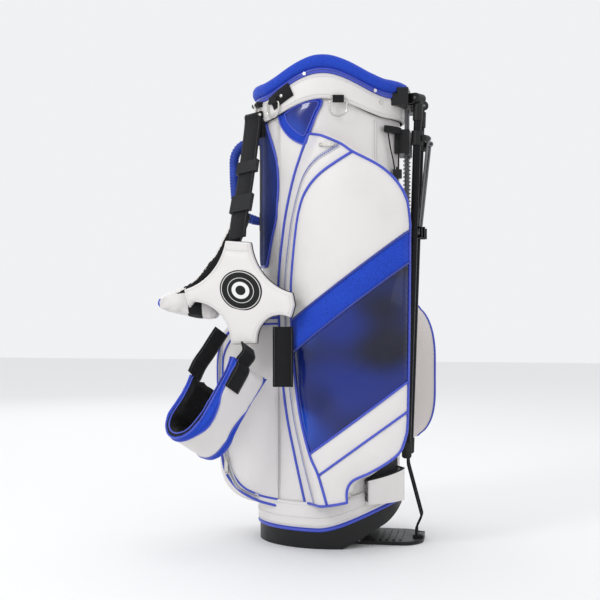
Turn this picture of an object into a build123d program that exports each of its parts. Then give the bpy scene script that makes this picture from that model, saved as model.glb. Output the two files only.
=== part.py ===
"""Golf stand bag: a stiffened oval bag body with pockets, a double carrying strap, and two folding legs.

Millimetres.  +Z is up, +X points from the bag's axis towards the legs, -Y is the side with the long
pocket (the near side) and +Y is the side with the round pocket (the far side).  The origin is on the
bag's axis, in the flat underside of the base.
"""
import os
from math import atan2, cos, degrees, radians, sin, sqrt, tan

from build123d import *

os.makedirs("parts", exist_ok=True)

# ---------------------------------------------------------------- driving dimensions
BODY_X = 130.0            # half width of the oval body, towards the legs
BODY_Y = 110.0            # half depth of the oval body
WALL = 3.0                # leatherette, foam and lining together
REACH = 260.0             # half size of the blocks that only cut other shapes

RIM_TOP = 842.0           # top of the padded rim on the spine and leg sides
RIM_RISE = 39.0           # how much higher the rim is in the middle of the near and far sides
RIM_PAD = 24.0            # height of the padded rim
RIM_PIPE = 9.0            # height of the piping under the padded rim
CUFF_BOTTOM = 772.0       # lower edge of the cuff on the spine and leg sides
CUFF_RISE = 31.0
CUFF_OUT = 9.0            # how far the cuff stands proud of the body
SHELL_OUT = 4.0           # thickness of the cuff's plastic core
WAVE_END = 112.0          # half width of the raised stretch of the rim and cuff

TRIM_LOW = 33.0           # middle of the base piping on the spine side
TRIM_HIGH = 83.0          # and on the leg side, over the heel
BAND_LOW = 83.0           # top seam of the base band on the spine side
BAND_HIGH = 124.0         # and on the leg side
BAND_OUT = 6.0            # how far the base band stands proud of the body
BASE_OUT = 3.0            # how far the base molding stands proud of the body
LEAN = 29.0               # degrees that the bag leans back when its legs are out
HEEL_START = 37.0         # where the sole turns up into the heel
HEEL_END = 110.0          # where the heel starts to round up into the side
SOLE = 5.0                # thickness of the base molding's sole

LEG_X = 167.0             # leg pivots
LEG_Y = 44.0
LEG_Z = 810.0
LEG_SPLAY = 28.0          # degrees from the +X direction in which each leg swings
LEG_TILT = 2.2            # degrees that a folded leg leans in towards the bag
LEG_R = 7.0
LEG_BORE = 5.8            # inner radius of the leg tube
LEG_LENGTH = 652.0        # from the pivot to the end of the tube
FOOT_R = 9.0
COLLAR_AT = 72.0          # distance of the strut collar below the pivot, along the leg
COLLAR_OUT = 14.0         # and of the strut's pin outside the leg's axis
STRUT = 170.8             # length of a strut between its two pins
STRUT_IN = -9.0           # where the strut's lower pin lies, outward of the leg's pivot
STRUT_SIDE = 15.0         # how far the strut runs beside the leg, towards the other leg
STRUT_R = 2.5
STRUT_DROP = 242.07       # height from the leg's pivot down to the strut's lower pin
SLIP = 4.0                # free play of that pin in the slider's window, each way
FIT = 0.05                # running clearance of a pin in its bore, on the radius

ROD_X = 143.0             # guide rods of the slider
ROD_Y = 26.0
ROD_R = 2.5
SPRING_R = 4.4            # mean radius of the return springs
SPRING_WIRE = 0.8         # radius of their wire
WIRE_Y = 15.0             # actuator wires, down to the pedal
WIRE_R = 2.0
BLOCK_TOP = 756.0         # upper guide block
BLOCK_BOTTOM = 712.0
SLIDER_TOP = 585.0
SLIDER_BOTTOM = 556.0
LOWER_GUIDE = 530.0       # underside of the lower guide

PEDAL_X = 62.0            # pedal hinge
PEDAL_Z = 8.0
PEDAL_TIP = 175.0
PEDAL_Y = 60.0
PEDAL_TOP = 7.0
PEDAL_GAP = 0.5           # the pedal hangs just clear of what the bag stands on

POCKET_GAP = 0.3          # between the body and what is sewn on it
SKIN = 3.0                # thickness of a pocket's padded skin

STRAP_TURN = 10.0         # degrees that the hanging strap is turned about Z from the bag's X axis


# ---------------------------------------------------------------- shared shapes
def oval(outset):
    """Half width and half depth of the oval that lies outset outside the body."""
    return BODY_X + outset, BODY_Y + outset


def oval_point(x, outset, side):
    """Point on such an oval at x, on the near side (-1) or the far side (+1)."""
    half_x, half_y = oval(outset)
    return x, side * half_y * sqrt(1 - (x / half_x) ** 2)


def wall_plane(x, z, outset, side=-1):
    """Plane on the wall: local x runs level along it, local y is up and local z points outwards."""
    half_x, half_y = oval(outset)
    _, y = oval_point(x, outset, side)
    outward = Vector(x / half_x ** 2, y / half_y ** 2, 0).normalized()
    along = Vector(0, 0, 1).cross(outward)
    return Plane(origin=(x, y, z), x_dir=along, z_dir=outward)


def oval_block(outset, low=-20.0, high=950.0):
    """Solid oval column between two heights."""
    with BuildPart() as block:
        with BuildSketch(Plane.XY.offset(low)):
            Ellipse(*oval(outset))
        extrude(amount=high - low)
    return block.part


def below_wave(level, rise):
    """Everything under a level line that rises in the middle of the near and far sides."""
    with BuildPart() as region:
        with BuildSketch(Plane.XZ):
            with BuildLine():
                Spline(
                    (-WAVE_END, level),
                    (-60, level + 0.54 * rise),
                    (0, level + rise),
                    (60, level + 0.54 * rise),
                    (WAVE_END, level),
                    tangents=((1, 0), (1, 0)),
                )
                Polyline((WAVE_END, level), (REACH, level), (REACH, -REACH))
                Polyline((REACH, -REACH), (-REACH, -REACH), (-REACH, level), (-WAVE_END, level))
            make_face()
        extrude(amount=REACH, both=True)
    return region.part


def below_sweep(low, high, start, end):
    """Everything under a line that is level at the spine side and sweeps up towards the legs."""
    middle = (start + end) / 2
    with BuildPart() as region:
        with BuildSketch(Plane.XZ):
            with BuildLine():
                Spline(
                    (start, low),
                    (middle, low + 0.42 * (high - low)),
                    (end, high),
                    tangents=((1, 0), (1, 0.35)),
                )
                Polyline((end, high), (REACH, high), (REACH, -REACH), (-REACH, -REACH), (-REACH, low), (start, low))
            make_face()
        extrude(amount=REACH, both=True)
    return region.part


def below_trim(shift):
    """Everything under the base piping's middle line, raised by shift."""
    return below_sweep(TRIM_LOW + shift, TRIM_HIGH + shift, -10.0, 140.0)


def below_band(shift):
    """Everything under the base band's top seam, raised by shift."""
    return below_sweep(BAND_LOW + shift, BAND_HIGH + shift, 0.0, 140.0)


def heel_block(shift):
    """Everything under the sole and the turned-up heel, raised by shift."""
    heel_z = (HEEL_END - HEEL_START) * tan(radians(LEAN))
    with BuildPart() as region:
        with BuildSketch(Plane.XZ):
            with BuildLine():
                Polyline((-REACH, shift), (HEEL_START, shift), (HEEL_END, heel_z + shift))
                ThreePointArc((HEEL_END, heel_z + shift), (126, 56 + shift), (136, 76 + shift))
                Polyline((136, 76 + shift), (REACH, 76 + shift), (REACH, -REACH), (-REACH, -REACH), (-REACH, shift))
            make_face()
        extrude(amount=REACH, both=True)
    return region.part


def ring_part(outer, inner, under, over):
    """Oval ring between two outsets, under one block and over another."""
    with BuildPart() as ring:
        add(oval_block(outer))
        add(oval_block(inner), mode=Mode.SUBTRACT)
        add(under, mode=Mode.INTERSECT)
        add(over, mode=Mode.SUBTRACT)
    return ring.part


def write(part, name):
    """Label one finished piece and write its STEP file."""
    part.label = name
    export_step(part, f"parts/{name}.step")


# ---------------------------------------------------------------- base
with BuildPart() as base_molding:
    add(oval_block(BASE_OUT))
    add(below_trim(13.0), mode=Mode.INTERSECT)
    add(heel_block(0.0), mode=Mode.SUBTRACT)
    with BuildPart(mode=Mode.SUBTRACT):
        add(oval_block(0.0))
        add(heel_block(SOLE), mode=Mode.SUBTRACT)
    # two lugs under the heel carry the pedal's pin
    with Locations((PEDAL_X, -PEDAL_Y - 4.5, PEDAL_Z + 4), (PEDAL_X, PEDAL_Y + 4.5, PEDAL_Z + 4)):
        Box(13, 7, 15)
    with Locations((PEDAL_X, 0, PEDAL_Z)):
        Cylinder(2.0, 2 * PEDAL_Y + 40, rotation=(90, 0, 0), mode=Mode.SUBTRACT)
write(base_molding.part, "base_molding")

write(ring_part(5.5, BASE_OUT, below_trim(4.5), below_trim(-4.5)), "base_piping")

with BuildPart() as base_band:
    add(ring_part(BAND_OUT, 0.0, below_band(0.0), below_trim(4.5)))
    add(base_molding.part, mode=Mode.SUBTRACT)
write(base_band.part, "base_band")


# ---------------------------------------------------------------- body wall, in four sewn panels
WALL_TOP = 805.0
SPINE_SEAM = -84.0        # x of the seams beside the spine
LEG_SEAM = 92.0           # x of the seams beside the legs


def wall_panel(low_x, high_x, low_y, high_y):
    """The stretch of the oval wall that lies between four upright planes."""
    with BuildPart() as panel:
        add(ring_part(0.0, -WALL, oval_block(0.0, high=WALL_TOP), below_trim(-5.0)))
        with Locations(((low_x + high_x) / 2, (low_y + high_y) / 2, WALL_TOP / 2)):
            Box(high_x - low_x, high_y - low_y, WALL_TOP + 20, mode=Mode.INTERSECT)
    return panel.part


write(wall_panel(-REACH, SPINE_SEAM, -REACH, REACH), "wall_spine_side")
write(wall_panel(SPINE_SEAM, LEG_SEAM, -REACH, 0), "wall_near_side")
write(wall_panel(SPINE_SEAM, LEG_SEAM, 0, REACH), "wall_far_side")
write(wall_panel(LEG_SEAM, REACH, -REACH, REACH), "wall_leg_side")

# three rods inside the wall keep the bag from folding
STAY_R = 3.0
STAY_POINTS = (oval_point(-70, -WALL - STAY_R, -1), oval_point(-70, -WALL - STAY_R, 1), oval_point(60, -WALL - STAY_R, 1))
with BuildPart() as stay_rods:
    with BuildSketch(Plane.XY.offset(45)):
        with Locations(*STAY_POINTS):
            Circle(STAY_R - 0.2)
    extrude(amount=725)
write(stay_rods.part, "stay_rods")


# ---------------------------------------------------------------- cuff, rim and club dividers
CUFF_TOP_DROP = RIM_PAD + RIM_PIPE
PIPE_OUT = CUFF_OUT + 2.0
PAD_OUT = 18.0            # how far the padded rim stands proud of the body
DIVIDER_X = (-42.0, 42.0)
DIVIDER_RING = 7.5        # width of the frame's ring
DIVIDER_BAR = 8.0         # and of the bars between the bays
DIVIDER_GAP = 0.1         # between neighbouring bars
DIVIDER_Z = 780.0
DIVIDER_H = 18.0
PANEL_T = 1.5             # thickness of the full-length dividers
PANEL_Z = 62.0

write(
    ring_part(
        SHELL_OUT, 0.0, below_wave(RIM_TOP - CUFF_TOP_DROP, RIM_RISE), below_wave(CUFF_BOTTOM, CUFF_RISE)
    ),
    "cuff_shell",
)
write(
    ring_part(
        CUFF_OUT, SHELL_OUT, below_wave(RIM_TOP - CUFF_TOP_DROP, RIM_RISE), below_wave(CUFF_BOTTOM, CUFF_RISE)
    ),
    "cuff_band",
)
rim_piping = ring_part(
    PIPE_OUT, -2.0, below_wave(RIM_TOP - RIM_PAD, RIM_RISE), below_wave(RIM_TOP - CUFF_TOP_DROP, RIM_RISE)
)
write(rim_piping, "rim_piping")
rim_pad = ring_part(PAD_OUT, -6.0, below_wave(RIM_TOP, RIM_RISE), below_wave(RIM_TOP - RIM_PAD, RIM_RISE))
write(rim_pad, "rim_pad")

with BuildPart() as divider_frame:
    with BuildSketch(Plane.XY.offset(DIVIDER_Z)):
        Ellipse(*oval(-WALL))
        Ellipse(*oval(-WALL - DIVIDER_RING), mode=Mode.SUBTRACT)
        with Locations(*STAY_POINTS):
            Circle(STAY_R + 0.2, mode=Mode.SUBTRACT)
    extrude(amount=DIVIDER_H)
write(divider_frame.part, "divider_frame")

BAR_EDGE = DIVIDER_BAR / 2 + DIVIDER_GAP
CENTRE_BARS = (
    (-BODY_X, DIVIDER_X[0] - BAR_EDGE),
    (DIVIDER_X[0] + BAR_EDGE, DIVIDER_X[1] - BAR_EDGE),
    (DIVIDER_X[1] + BAR_EDGE, BODY_X),
)
with BuildPart() as divider_bars:
    with BuildSketch(Plane.XY.offset(DIVIDER_Z)):
        with Locations(*[(x, 0) for x in DIVIDER_X]):
            Rectangle(DIVIDER_BAR, 2 * BODY_Y)
        for low_x, high_x in CENTRE_BARS:
            with Locations(((low_x + high_x) / 2, 0)):
                Rectangle(high_x - low_x, DIVIDER_BAR)
        Ellipse(*oval(-WALL - DIVIDER_RING - DIVIDER_GAP), mode=Mode.INTERSECT)
    extrude(amount=DIVIDER_H)
write(divider_bars.part, "divider_bars")

with BuildPart() as divider_panels:
    with BuildSketch(Plane.XY.offset(PANEL_Z)):
        with Locations(*[(x, 0) for x in DIVIDER_X]):
            Rectangle(PANEL_T, 2 * (BODY_Y - 14))
    extrude(amount=DIVIDER_Z - PANEL_Z)
write(divider_panels.part, "divider_panels")


# ---------------------------------------------------------------- pockets
def pocket(section, outline, inner_section, inner_outline, floor_block=None):
    """Padded skin of a pocket: a plan section cut to a side outline, open towards the body."""
    with BuildPart() as shape:
        with BuildSketch(Plane.XY):
            add(section)
        extrude(amount=850)
        with BuildSketch(Plane.XZ, mode=Mode.PRIVATE) as front:
            add(outline)
        extrude(front.sketch, amount=REACH, both=True, mode=Mode.INTERSECT)
        with BuildPart(mode=Mode.SUBTRACT):
            with BuildSketch(Plane.XY):
                add(inner_section)
            extrude(amount=850)
            with BuildSketch(Plane.XZ, mode=Mode.PRIVATE) as inner_front:
                add(inner_outline)
            extrude(inner_front.sketch, amount=REACH, both=True, mode=Mode.INTERSECT)
        add(oval_block(POCKET_GAP), mode=Mode.SUBTRACT)
        if floor_block is not None:
            add(floor_block, mode=Mode.SUBTRACT)
    return shape.part


def shrunk(face):
    """The same flat outline, one skin thickness smaller."""
    return offset(face, amount=-SKIN)


BAND_BLOCK = oval_block(BAND_OUT + POCKET_GAP, high=BAND_HIGH + 2)

with BuildSketch() as near_section:
    with BuildLine():
        Polyline((122, 0), (122, -62), (157, -118))
        ThreePointArc((157, -118), (158, -136), (146, -147))
        ThreePointArc((146, -147), (60, -166), (-53, -128))
        Polyline((-53, -128), (-81, -88), (-81, 0), (122, 0))
    make_face()
with BuildSketch() as near_outline:
    with BuildLine():
        Polyline((-60, 690), (-62, 300), (-40, 112))
        ThreePointArc((-40, 112), (-30, 95), (-12, 88))
        Line((-12, 88), (26, 88))
        ThreePointArc((26, 88), (30, 112), (50, 122))
        ThreePointArc((50, 122), (132, 152), (160, 215))
        Line((160, 215), (160, 572))
        ThreePointArc((160, 572), (118, 662), (20, 728))
        ThreePointArc((20, 728), (-30, 736), (-60, 690))
    make_face()
near_pocket = pocket(
    near_section.sketch, near_outline.sketch, shrunk(near_section.sketch), shrunk(near_outline.sketch), BAND_BLOCK
)
write(near_pocket, "near_pocket")

with BuildSketch() as far_section:
    with BuildLine():
        Polyline((110, 0), (134, 52), (178, 76))
        ThreePointArc((178, 76), (187, 104), (168, 128))
        ThreePointArc((168, 128), (60, 158), (-62, 128))
        Polyline((-62, 128), (-80, 90), (-80, 0), (110, 0))
    make_face()
with BuildSketch() as far_outline:
    with BuildLine():
        ThreePointArc((130, 175), (173, 200), (188, 262))
        Line((188, 262), (188, 340))
        ThreePointArc((188, 340), (172, 408), (130, 436))
        Line((130, 436), (-30, 436))
        ThreePointArc((-30, 436), (-72, 408), (-90, 340))
        Line((-90, 340), (-90, 262))
        ThreePointArc((-90, 262), (-74, 200), (-30, 175))
        Line((-30, 175), (130, 175))
    make_face()
far_pocket = pocket(
    far_section.sketch, far_outline.sketch, shrunk(far_section.sketch), shrunk(far_outline.sketch), BAND_BLOCK
)
write(far_pocket, "far_pocket")

with BuildSketch() as ball_section:
    with BuildLine():
        Polyline((-83, 0), (-83, -87), (-140, -88), (-195, -72))
        ThreePointArc((-195, -72), (-214, 0), (-195, 72))
        Polyline((-195, 72), (-140, 88), (-83, 87), (-83, 0))
    make_face()
with BuildSketch() as ball_outline:
    with BuildLine():
        Polyline((-60, 428), (-120, 426))
        ThreePointArc((-120, 426), (-192, 396), (-215, 320))
        Line((-215, 320), (-204, 130))
        ThreePointArc((-204, 130), (-180, 84), (-128, 67))
        Polyline((-128, 67), (-60, 67), (-60, 428))
    make_face()
ball_pocket = pocket(
    ball_section.sketch, ball_outline.sketch, shrunk(ball_section.sketch), shrunk(ball_outline.sketch), BAND_BLOCK
)
write(ball_pocket, "ball_pocket")


# ---------------------------------------------------------------- umbrella pouch and its cord
POUCH_OUT = 22.0          # how far the pouch stands proud of the body
POUCH_WALL = 2.5
POUCH_FLOOR = 6.0
POUCH_MIDDLE = Vector(112, -68, 112)
POUCH_LONG = 60.0
POUCH_DEEP = 46.0
POUCH_HIGH = 64.0
with BuildPart() as umbrella_pouch:
    add(oval_block(POUCH_OUT))
    with Locations(POUCH_MIDDLE):
        Box(POUCH_LONG, POUCH_DEEP, POUCH_HIGH, mode=Mode.INTERSECT)
    with BuildPart(mode=Mode.SUBTRACT):
        add(oval_block(POUCH_OUT - POUCH_WALL))
        with Locations(POUCH_MIDDLE + Vector(0, 0, POUCH_FLOOR)):
            Box(POUCH_LONG - 2 * POUCH_WALL, POUCH_DEEP - 2 * POUCH_WALL, POUCH_HIGH, mode=Mode.INTERSECT)
    add(BAND_BLOCK, mode=Mode.SUBTRACT)
    add(oval_block(POCKET_GAP), mode=Mode.SUBTRACT)
    add(near_pocket, mode=Mode.SUBTRACT)
write(umbrella_pouch.part.solids().sort_by(SortBy.VOLUME)[-1], "umbrella_pouch")

CORD_R = 1.25
LOCK = (128.3, -47.9, 673.0)      # middle of the cord lock's button
# each strand runs from the upper tab, through the lock, to the lower tab
STRAND_NEAR = [(114, -65, 747), (117, -61, 722), (122.5, -54.5, 698), (126, -51.5, 673), (126.5, -53.5, 646), (124, -58, 622)]
STRAND_FAR = [(131.5, -44, 747), (131.5, -43.3, 722), (131, -43.2, 698), (130.5, -44.3, 673), (129, -48, 646), (127, -54.5, 622)]


def cord_path_radii(points):
    """Bend radius at each inner point: 0.45 of the shorter run over the tangent of half the turn."""
    radii = []
    for before, here, after in zip(points, points[1:], points[2:]):
        run_in = Vector(*here) - Vector(*before)
        run_out = Vector(*after) - Vector(*here)
        half_turn = radians(run_in.get_angle(run_out)) / 2
        radii.append(0.45 * min(run_in.length, run_out.length) / tan(half_turn))
    return radii


def cord_tube(points, name):
    """Round cord along straight runs joined by tangent arcs."""
    radii = cord_path_radii(points)
    with BuildPart() as tube:
        with BuildLine():
            route = FilletPolyline(*points, radius=radii)
        with BuildSketch(Plane(origin=points[0], z_dir=route % 0)):
            Circle(CORD_R)
        sweep()
    print(name, "length", round(route.length, 1), "radii", [round(radius) for radius in radii])
    write(tube.part, name)


cord_tube(STRAND_NEAR, "umbrella_cord_near")
cord_tube(STRAND_FAR, "umbrella_cord_far")

BUTTON_R = 1.5
BUTTON_TRAVEL = 3.0
BORE_FIT = 0.6
with BuildPart() as cord_lock:
    with Locations((LOCK[0] + 1, LOCK[1], LOCK[2])):
        Box(16, 15, 16)
    fillet(cord_lock.edges().filter_by(Axis.Z), 3)
    with Locations((LOCK[0], LOCK[1], LOCK[2] + 8)):
        Cylinder(BUTTON_R + FIT, 12, mode=Mode.SUBTRACT)
    # a straight bore for each strand, along its short stretch through the lock
    for strand in (STRAND_NEAR, STRAND_FAR):
        with BuildLine(mode=Mode.PRIVATE):
            route = FilletPolyline(*strand, radius=cord_path_radii(strand))
        bore_start = route @ 0.5
        bore_run = route @ 0.68 - bore_start
        with BuildSketch(Plane(origin=bore_start, z_dir=bore_run), mode=Mode.PRIVATE) as bore:
            Circle(CORD_R + BORE_FIT)
        extrude(bore.sketch, amount=bore_run.length, mode=Mode.SUBTRACT)
write(cord_lock.part, "cord_lock")

with BuildPart() as cord_lock_button:
    with BuildSketch(Plane((LOCK[0], LOCK[1], LOCK[2] + 2 + BUTTON_TRAVEL))):
        Circle(BUTTON_R)
    extrude(amount=8)
    fillet(cord_lock_button.faces().sort_by(Axis.Z)[-1].edges(), 0.6)
write(cord_lock_button.part, "cord_lock_button")

with BuildPart() as umbrella_tabs:
    add(ring_part(13.0, POCKET_GAP, oval_block(20, high=758), oval_block(20, high=STRAND_NEAR[0][2])))
    with Locations((122, -57, 752)):
        Box(28, 38, 40, mode=Mode.INTERSECT)
    with Locations((128, -54, STRAND_NEAR[-1][2] - 6)):
        Box(12, 16, 12)
write(umbrella_tabs.part, "umbrella_tabs")


# ---------------------------------------------------------------- spine pad and carrying handle
SPINE_PAD_OUT = 4.0
SPINE_PAD_X = -96.0
with BuildPart() as spine_pad:
    add(ring_part(SPINE_PAD_OUT, POCKET_GAP, oval_block(20, high=CUFF_BOTTOM - 1), oval_block(20, high=505)))
    with Locations((SPINE_PAD_X - REACH / 2, 0, 640)):
        Box(REACH, 2 * REACH, 400, mode=Mode.INTERSECT)
write(spine_pad.part, "spine_pad")

HANDLE_R = 9.0
HANDLE_TOP = 745.0
HANDLE_LOW = 592.0
HANDLE_OUT = -187.0
with BuildPart() as carry_handle:
    with BuildLine(Plane.XZ) as handle_path:
        FilletPolyline(
            (-BODY_X - SPINE_PAD_OUT + 3, HANDLE_TOP),
            (HANDLE_OUT, HANDLE_TOP - 12),
            (HANDLE_OUT + 3, HANDLE_LOW + 26),
            (-BODY_X - SPINE_PAD_OUT + 3, HANDLE_LOW),
            radius=(34, 34),
        )
    with BuildSketch(Plane(origin=handle_path.line @ 0, z_dir=handle_path.line % 0)):
        Circle(HANDLE_R)
    sweep()
    add(oval_block(SPINE_PAD_OUT), mode=Mode.SUBTRACT)
write(carry_handle.part.solids().sort_by(SortBy.VOLUME)[-1], "carry_handle")


# ---------------------------------------------------------------- rings, rivets and snaps on the cuff
RING_WIRE = 1.6
LOOP_R = 3.4
RING_OFFSET = 4.0         # how far a ring's bar stands off the cuff
TAB_RISE = 10.0           # height of the tab above the ring's bar
RING_PLACES = {"d_ring_left": (-92.0, 802.0), "d_ring_centre": (31.0, 797.0)}


def ring_plane(name):
    """Plane through the bar of a ring, level along the cuff and facing outwards."""
    x, z = RING_PLACES[name]
    return wall_plane(x, z, CUFF_OUT + RING_OFFSET)


for ring_name in RING_PLACES:
    with BuildPart() as d_ring:
        with BuildLine(ring_plane(ring_name)) as ring_path:
            FilletPolyline((-15, 0), (15, 0), (15, -27), (-15, -27), radius=(3, 3, 13, 13), close=True)
        with BuildSketch(Plane(origin=ring_path.line @ 0.5, z_dir=ring_path.line % 0.5)):
            Circle(RING_WIRE)
        sweep()
    write(d_ring.part, ring_name)
    print(ring_name, "axis", -ring_plane(ring_name).x_dir, "at", ring_plane(ring_name).origin)

with BuildPart() as ring_tabs:
    for ring_name in RING_PLACES:
        tab_x, tab_z = RING_PLACES[ring_name]
        loop = ring_plane(ring_name)
        with BuildSketch(Plane(origin=loop.origin - 10 * loop.x_dir, x_dir=loop.z_dir, z_dir=loop.x_dir)):
            Circle(LOOP_R)
            with Locations((-RING_OFFSET / 2, -TAB_RISE / 2)):
                Rectangle(RING_OFFSET + 3, TAB_RISE)
            Circle(RING_WIRE + 0.1, mode=Mode.SUBTRACT)
        extrude(amount=20)
    add(oval_block(CUFF_OUT), mode=Mode.SUBTRACT)
    add(rim_piping, mode=Mode.SUBTRACT)
write(ring_tabs.part, "ring_tabs")

# two snaps on the rim piping and an eyelet on the cuff
HEADS = ((-30.0, 847.0, PIPE_OUT, 3.0), (93.0, 818.0, PIPE_OUT, 3.2), (103.0, 799.0, CUFF_OUT, 5.0))
with BuildPart() as snaps_and_eyelet:
    for head_x, head_z, head_out, head_r in HEADS:
        with BuildSketch(wall_plane(head_x, head_z, head_out + 0.2)):
            Circle(head_r)
        extrude(amount=1.5)
    add(rim_pad, mode=Mode.SUBTRACT)
write(snaps_and_eyelet.part, "snaps_and_eyelet")


# ---------------------------------------------------------------- zippers and their pulls
ZIP_T = 1.0
PIN_UP = 5.5              # height of a pull's pin above the zipper


def zip_slider(place):
    """Slider of a zipper, with the bridge and pin that carry its pull."""
    with BuildPart() as slider_body:
        with BuildSketch(place):
            Rectangle(10, 7)
        extrude(amount=3)
        for side in (-1, 1):
            with BuildSketch(place.offset(3)):
                with Locations((0, side * 2.75)):
                    Rectangle(4, 1.5)
            extrude(amount=4)
        with BuildSketch(Plane(origin=place.origin + PIN_UP * place.z_dir, z_dir=place.y_dir)):
            Circle(0.9)
        extrude(amount=3, both=True)
    return slider_body.part


def zip_pull(place, length):
    """Pull tab lying along the plane's x direction, with its eye on the slider's pin."""
    pin = Plane(origin=place.origin + PIN_UP * place.z_dir, x_dir=place.x_dir, z_dir=-place.y_dir)
    with BuildPart() as tab:
        with BuildSketch(pin):
            Circle(2.2)
            with Locations((4, 0)):
                Rectangle(8, 1.8)
            Circle(0.9 + FIT, mode=Mode.SUBTRACT)
        extrude(amount=1.8, both=True)
        with BuildSketch(Plane(origin=pin.origin - 0.9 * place.z_dir, x_dir=place.x_dir, z_dir=place.z_dir)):
            with Locations((length / 2 + 2, 0)):
                SlotOverall(length, 7)
            with Locations((length - 2, 0)):
                Circle(1.5, mode=Mode.SUBTRACT)
        extrude(amount=1.8)
        with BuildSketch(Plane(origin=pin.origin - 3 * place.z_dir, x_dir=place.x_dir, z_dir=place.z_dir)):
            Rectangle(7.4, 8)
            Rectangle(7.4, 3.6, mode=Mode.SUBTRACT)
        extrude(amount=6, mode=Mode.SUBTRACT)
    return tab.part


def facing_plane(origin, outward, along):
    """Plane whose z points along outward and whose x points along along."""
    return Plane(origin=origin, x_dir=along, z_dir=outward)


GUSSET_OUT = Vector(-40, -28, 0).normalized()         # the long pocket's gusset faces this way
BALL_OUT = Vector(-16, -55, 0).normalized()           # and the ball pocket's near face this way
TOP_OUT = Vector(-0.28, -0.96, 0).normalized()        # and the top of the long pocket's front this way
TOP_ZIP = Vector(8, -158.2, 714)
FAR_OUT = Vector(0, 1, 0)
ZIP_PLACES = {
    "near_zip_pull": facing_plane(TOP_ZIP + TOP_OUT * ZIP_T, TOP_OUT, TOP_OUT.cross(Vector(0, 0, -1))),
    "ball_zip_pull": facing_plane(Vector(-180, -76.36, 150) + BALL_OUT * ZIP_T, BALL_OUT, Vector(0, 0, -1)),
    "far_zip_pull": facing_plane(Vector(60, 158, 395) + FAR_OUT * ZIP_T, FAR_OUT, Vector(1, 0, 0)),
}
for pull_name, pull_place in ZIP_PLACES.items():
    write(zip_pull(pull_place, 24), pull_name)
    print(pull_name, "pin at", pull_place.origin + PIN_UP * pull_place.z_dir, "axis", -pull_place.y_dir)

with BuildPart() as pocket_zippers:
    with BuildSketch(Plane(origin=(-67, -108, 390), x_dir=Vector(28, -40, 0), z_dir=GUSSET_OUT)):
        Rectangle(9, 540)
    extrude(amount=ZIP_T)
    with BuildSketch(Plane(origin=(-180, -76.36, 255), x_dir=Vector(55, -16, 0), z_dir=BALL_OUT)):
        Rectangle(9, 230)
    extrude(amount=ZIP_T)
    with BuildSketch(Plane(origin=(60, 158, 395), x_dir=Vector(-1, 0, 0), z_dir=FAR_OUT)):
        Rectangle(60, 9)
    extrude(amount=ZIP_T)
    with BuildSketch(Plane(origin=TOP_ZIP, x_dir=TOP_OUT.cross(Vector(0, 0, -1)), z_dir=TOP_OUT)):
        Rectangle(34, 9)
    extrude(amount=ZIP_T)
    for pull_place in ZIP_PLACES.values():
        add(zip_slider(pull_place))
    for sewn_on in (far_pocket, ball_pocket, near_pocket):
        add(sewn_on, mode=Mode.SUBTRACT)
write(pocket_zippers.part, "pocket_zippers")


# ---------------------------------------------------------------- strap: hook, webbing and pads
ACROSS = Vector(cos(radians(STRAP_TURN)), sin(radians(STRAP_TURN)), 0)
BACK = Vector(-sin(radians(STRAP_TURN)), cos(radians(STRAP_TURN)), 0)
UP = Vector(0, 0, 1)


def hung(across, back, up):
    """A point given in the hanging strap's own turned directions."""
    return ACROSS * across + BACK * back + UP * up


HOOK_X = -131.0
HOOK_Z = 804.0
HOOK_BAR_R = 2.0
hook_plane = wall_plane(HOOK_X, HOOK_Z, CUFF_OUT + 8)
print("strap hook axis", -hook_plane.x_dir, "at", hook_plane.origin)

with BuildPart() as hook_bracket:
    with BuildSketch(Plane(origin=hook_plane.origin - 13 * hook_plane.x_dir, x_dir=hook_plane.z_dir, z_dir=hook_plane.x_dir)):
        Circle(HOOK_BAR_R)
    extrude(amount=26)
    for cheek in (-13, 10):
        with BuildSketch(Plane(origin=hook_plane.origin + cheek * hook_plane.x_dir, x_dir=hook_plane.z_dir, z_dir=hook_plane.x_dir)):
            Circle(4.5)
            with Locations((-5, 0)):
                Rectangle(10, 9)
        extrude(amount=3)
    add(oval_block(CUFF_OUT), mode=Mode.SUBTRACT)
write(hook_bracket.part, "hook_bracket")

# the hook's drawing plane: x points outwards and y points down
hook_side = Plane(origin=hook_plane.origin, x_dir=hook_plane.z_dir, z_dir=hook_plane.x_dir)
HOOK_DROP = 20.0          # from the bar down to the hook's crossbar
with BuildPart() as strap_hook:
    with BuildSketch(hook_side):
        Circle(5)
        with Locations((0, HOOK_DROP / 2)):
            Rectangle(5, HOOK_DROP - 6)
        Circle(HOOK_BAR_R + FIT, mode=Mode.SUBTRACT)
    extrude(amount=4, both=True)
    with BuildSketch(hook_side):
        with Locations((0, HOOK_DROP)):
            Circle(2.5)
    extrude(amount=22, both=True)
write(strap_hook.part, "strap_hook")

WEB_T = 2.5
WEB_W = 38.0
WEB_TURN = radians(26.0)
WEB_LEAN = radians(6.6)
web_level = Vector(cos(WEB_TURN), -sin(WEB_TURN), 0)
web_back = Vector(sin(WEB_TURN), cos(WEB_TURN), 0)
web_plane = Plane(origin=(-134, -61.5, 781.5), x_dir=web_back, z_dir=web_level * cos(WEB_LEAN) + UP * sin(WEB_LEAN))
WEB_PATH = [(-1, -4), (-18, -50), (-46, -128), (-74, -196), (-82, -229)]


def webbing(place, points, width, radius, middle=0.0):
    """Flat strap: a path in a plane, WEB_T thick to its left, and width wide across that plane."""
    with BuildPart() as strip:
        with BuildSketch(place.offset(middle - width / 2)):
            with BuildLine():
                FilletPolyline(*points, radius=radius)
                offset(amount=WEB_T, side=Side.LEFT)
            make_face()
        extrude(amount=width)
    return strip.part


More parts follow.
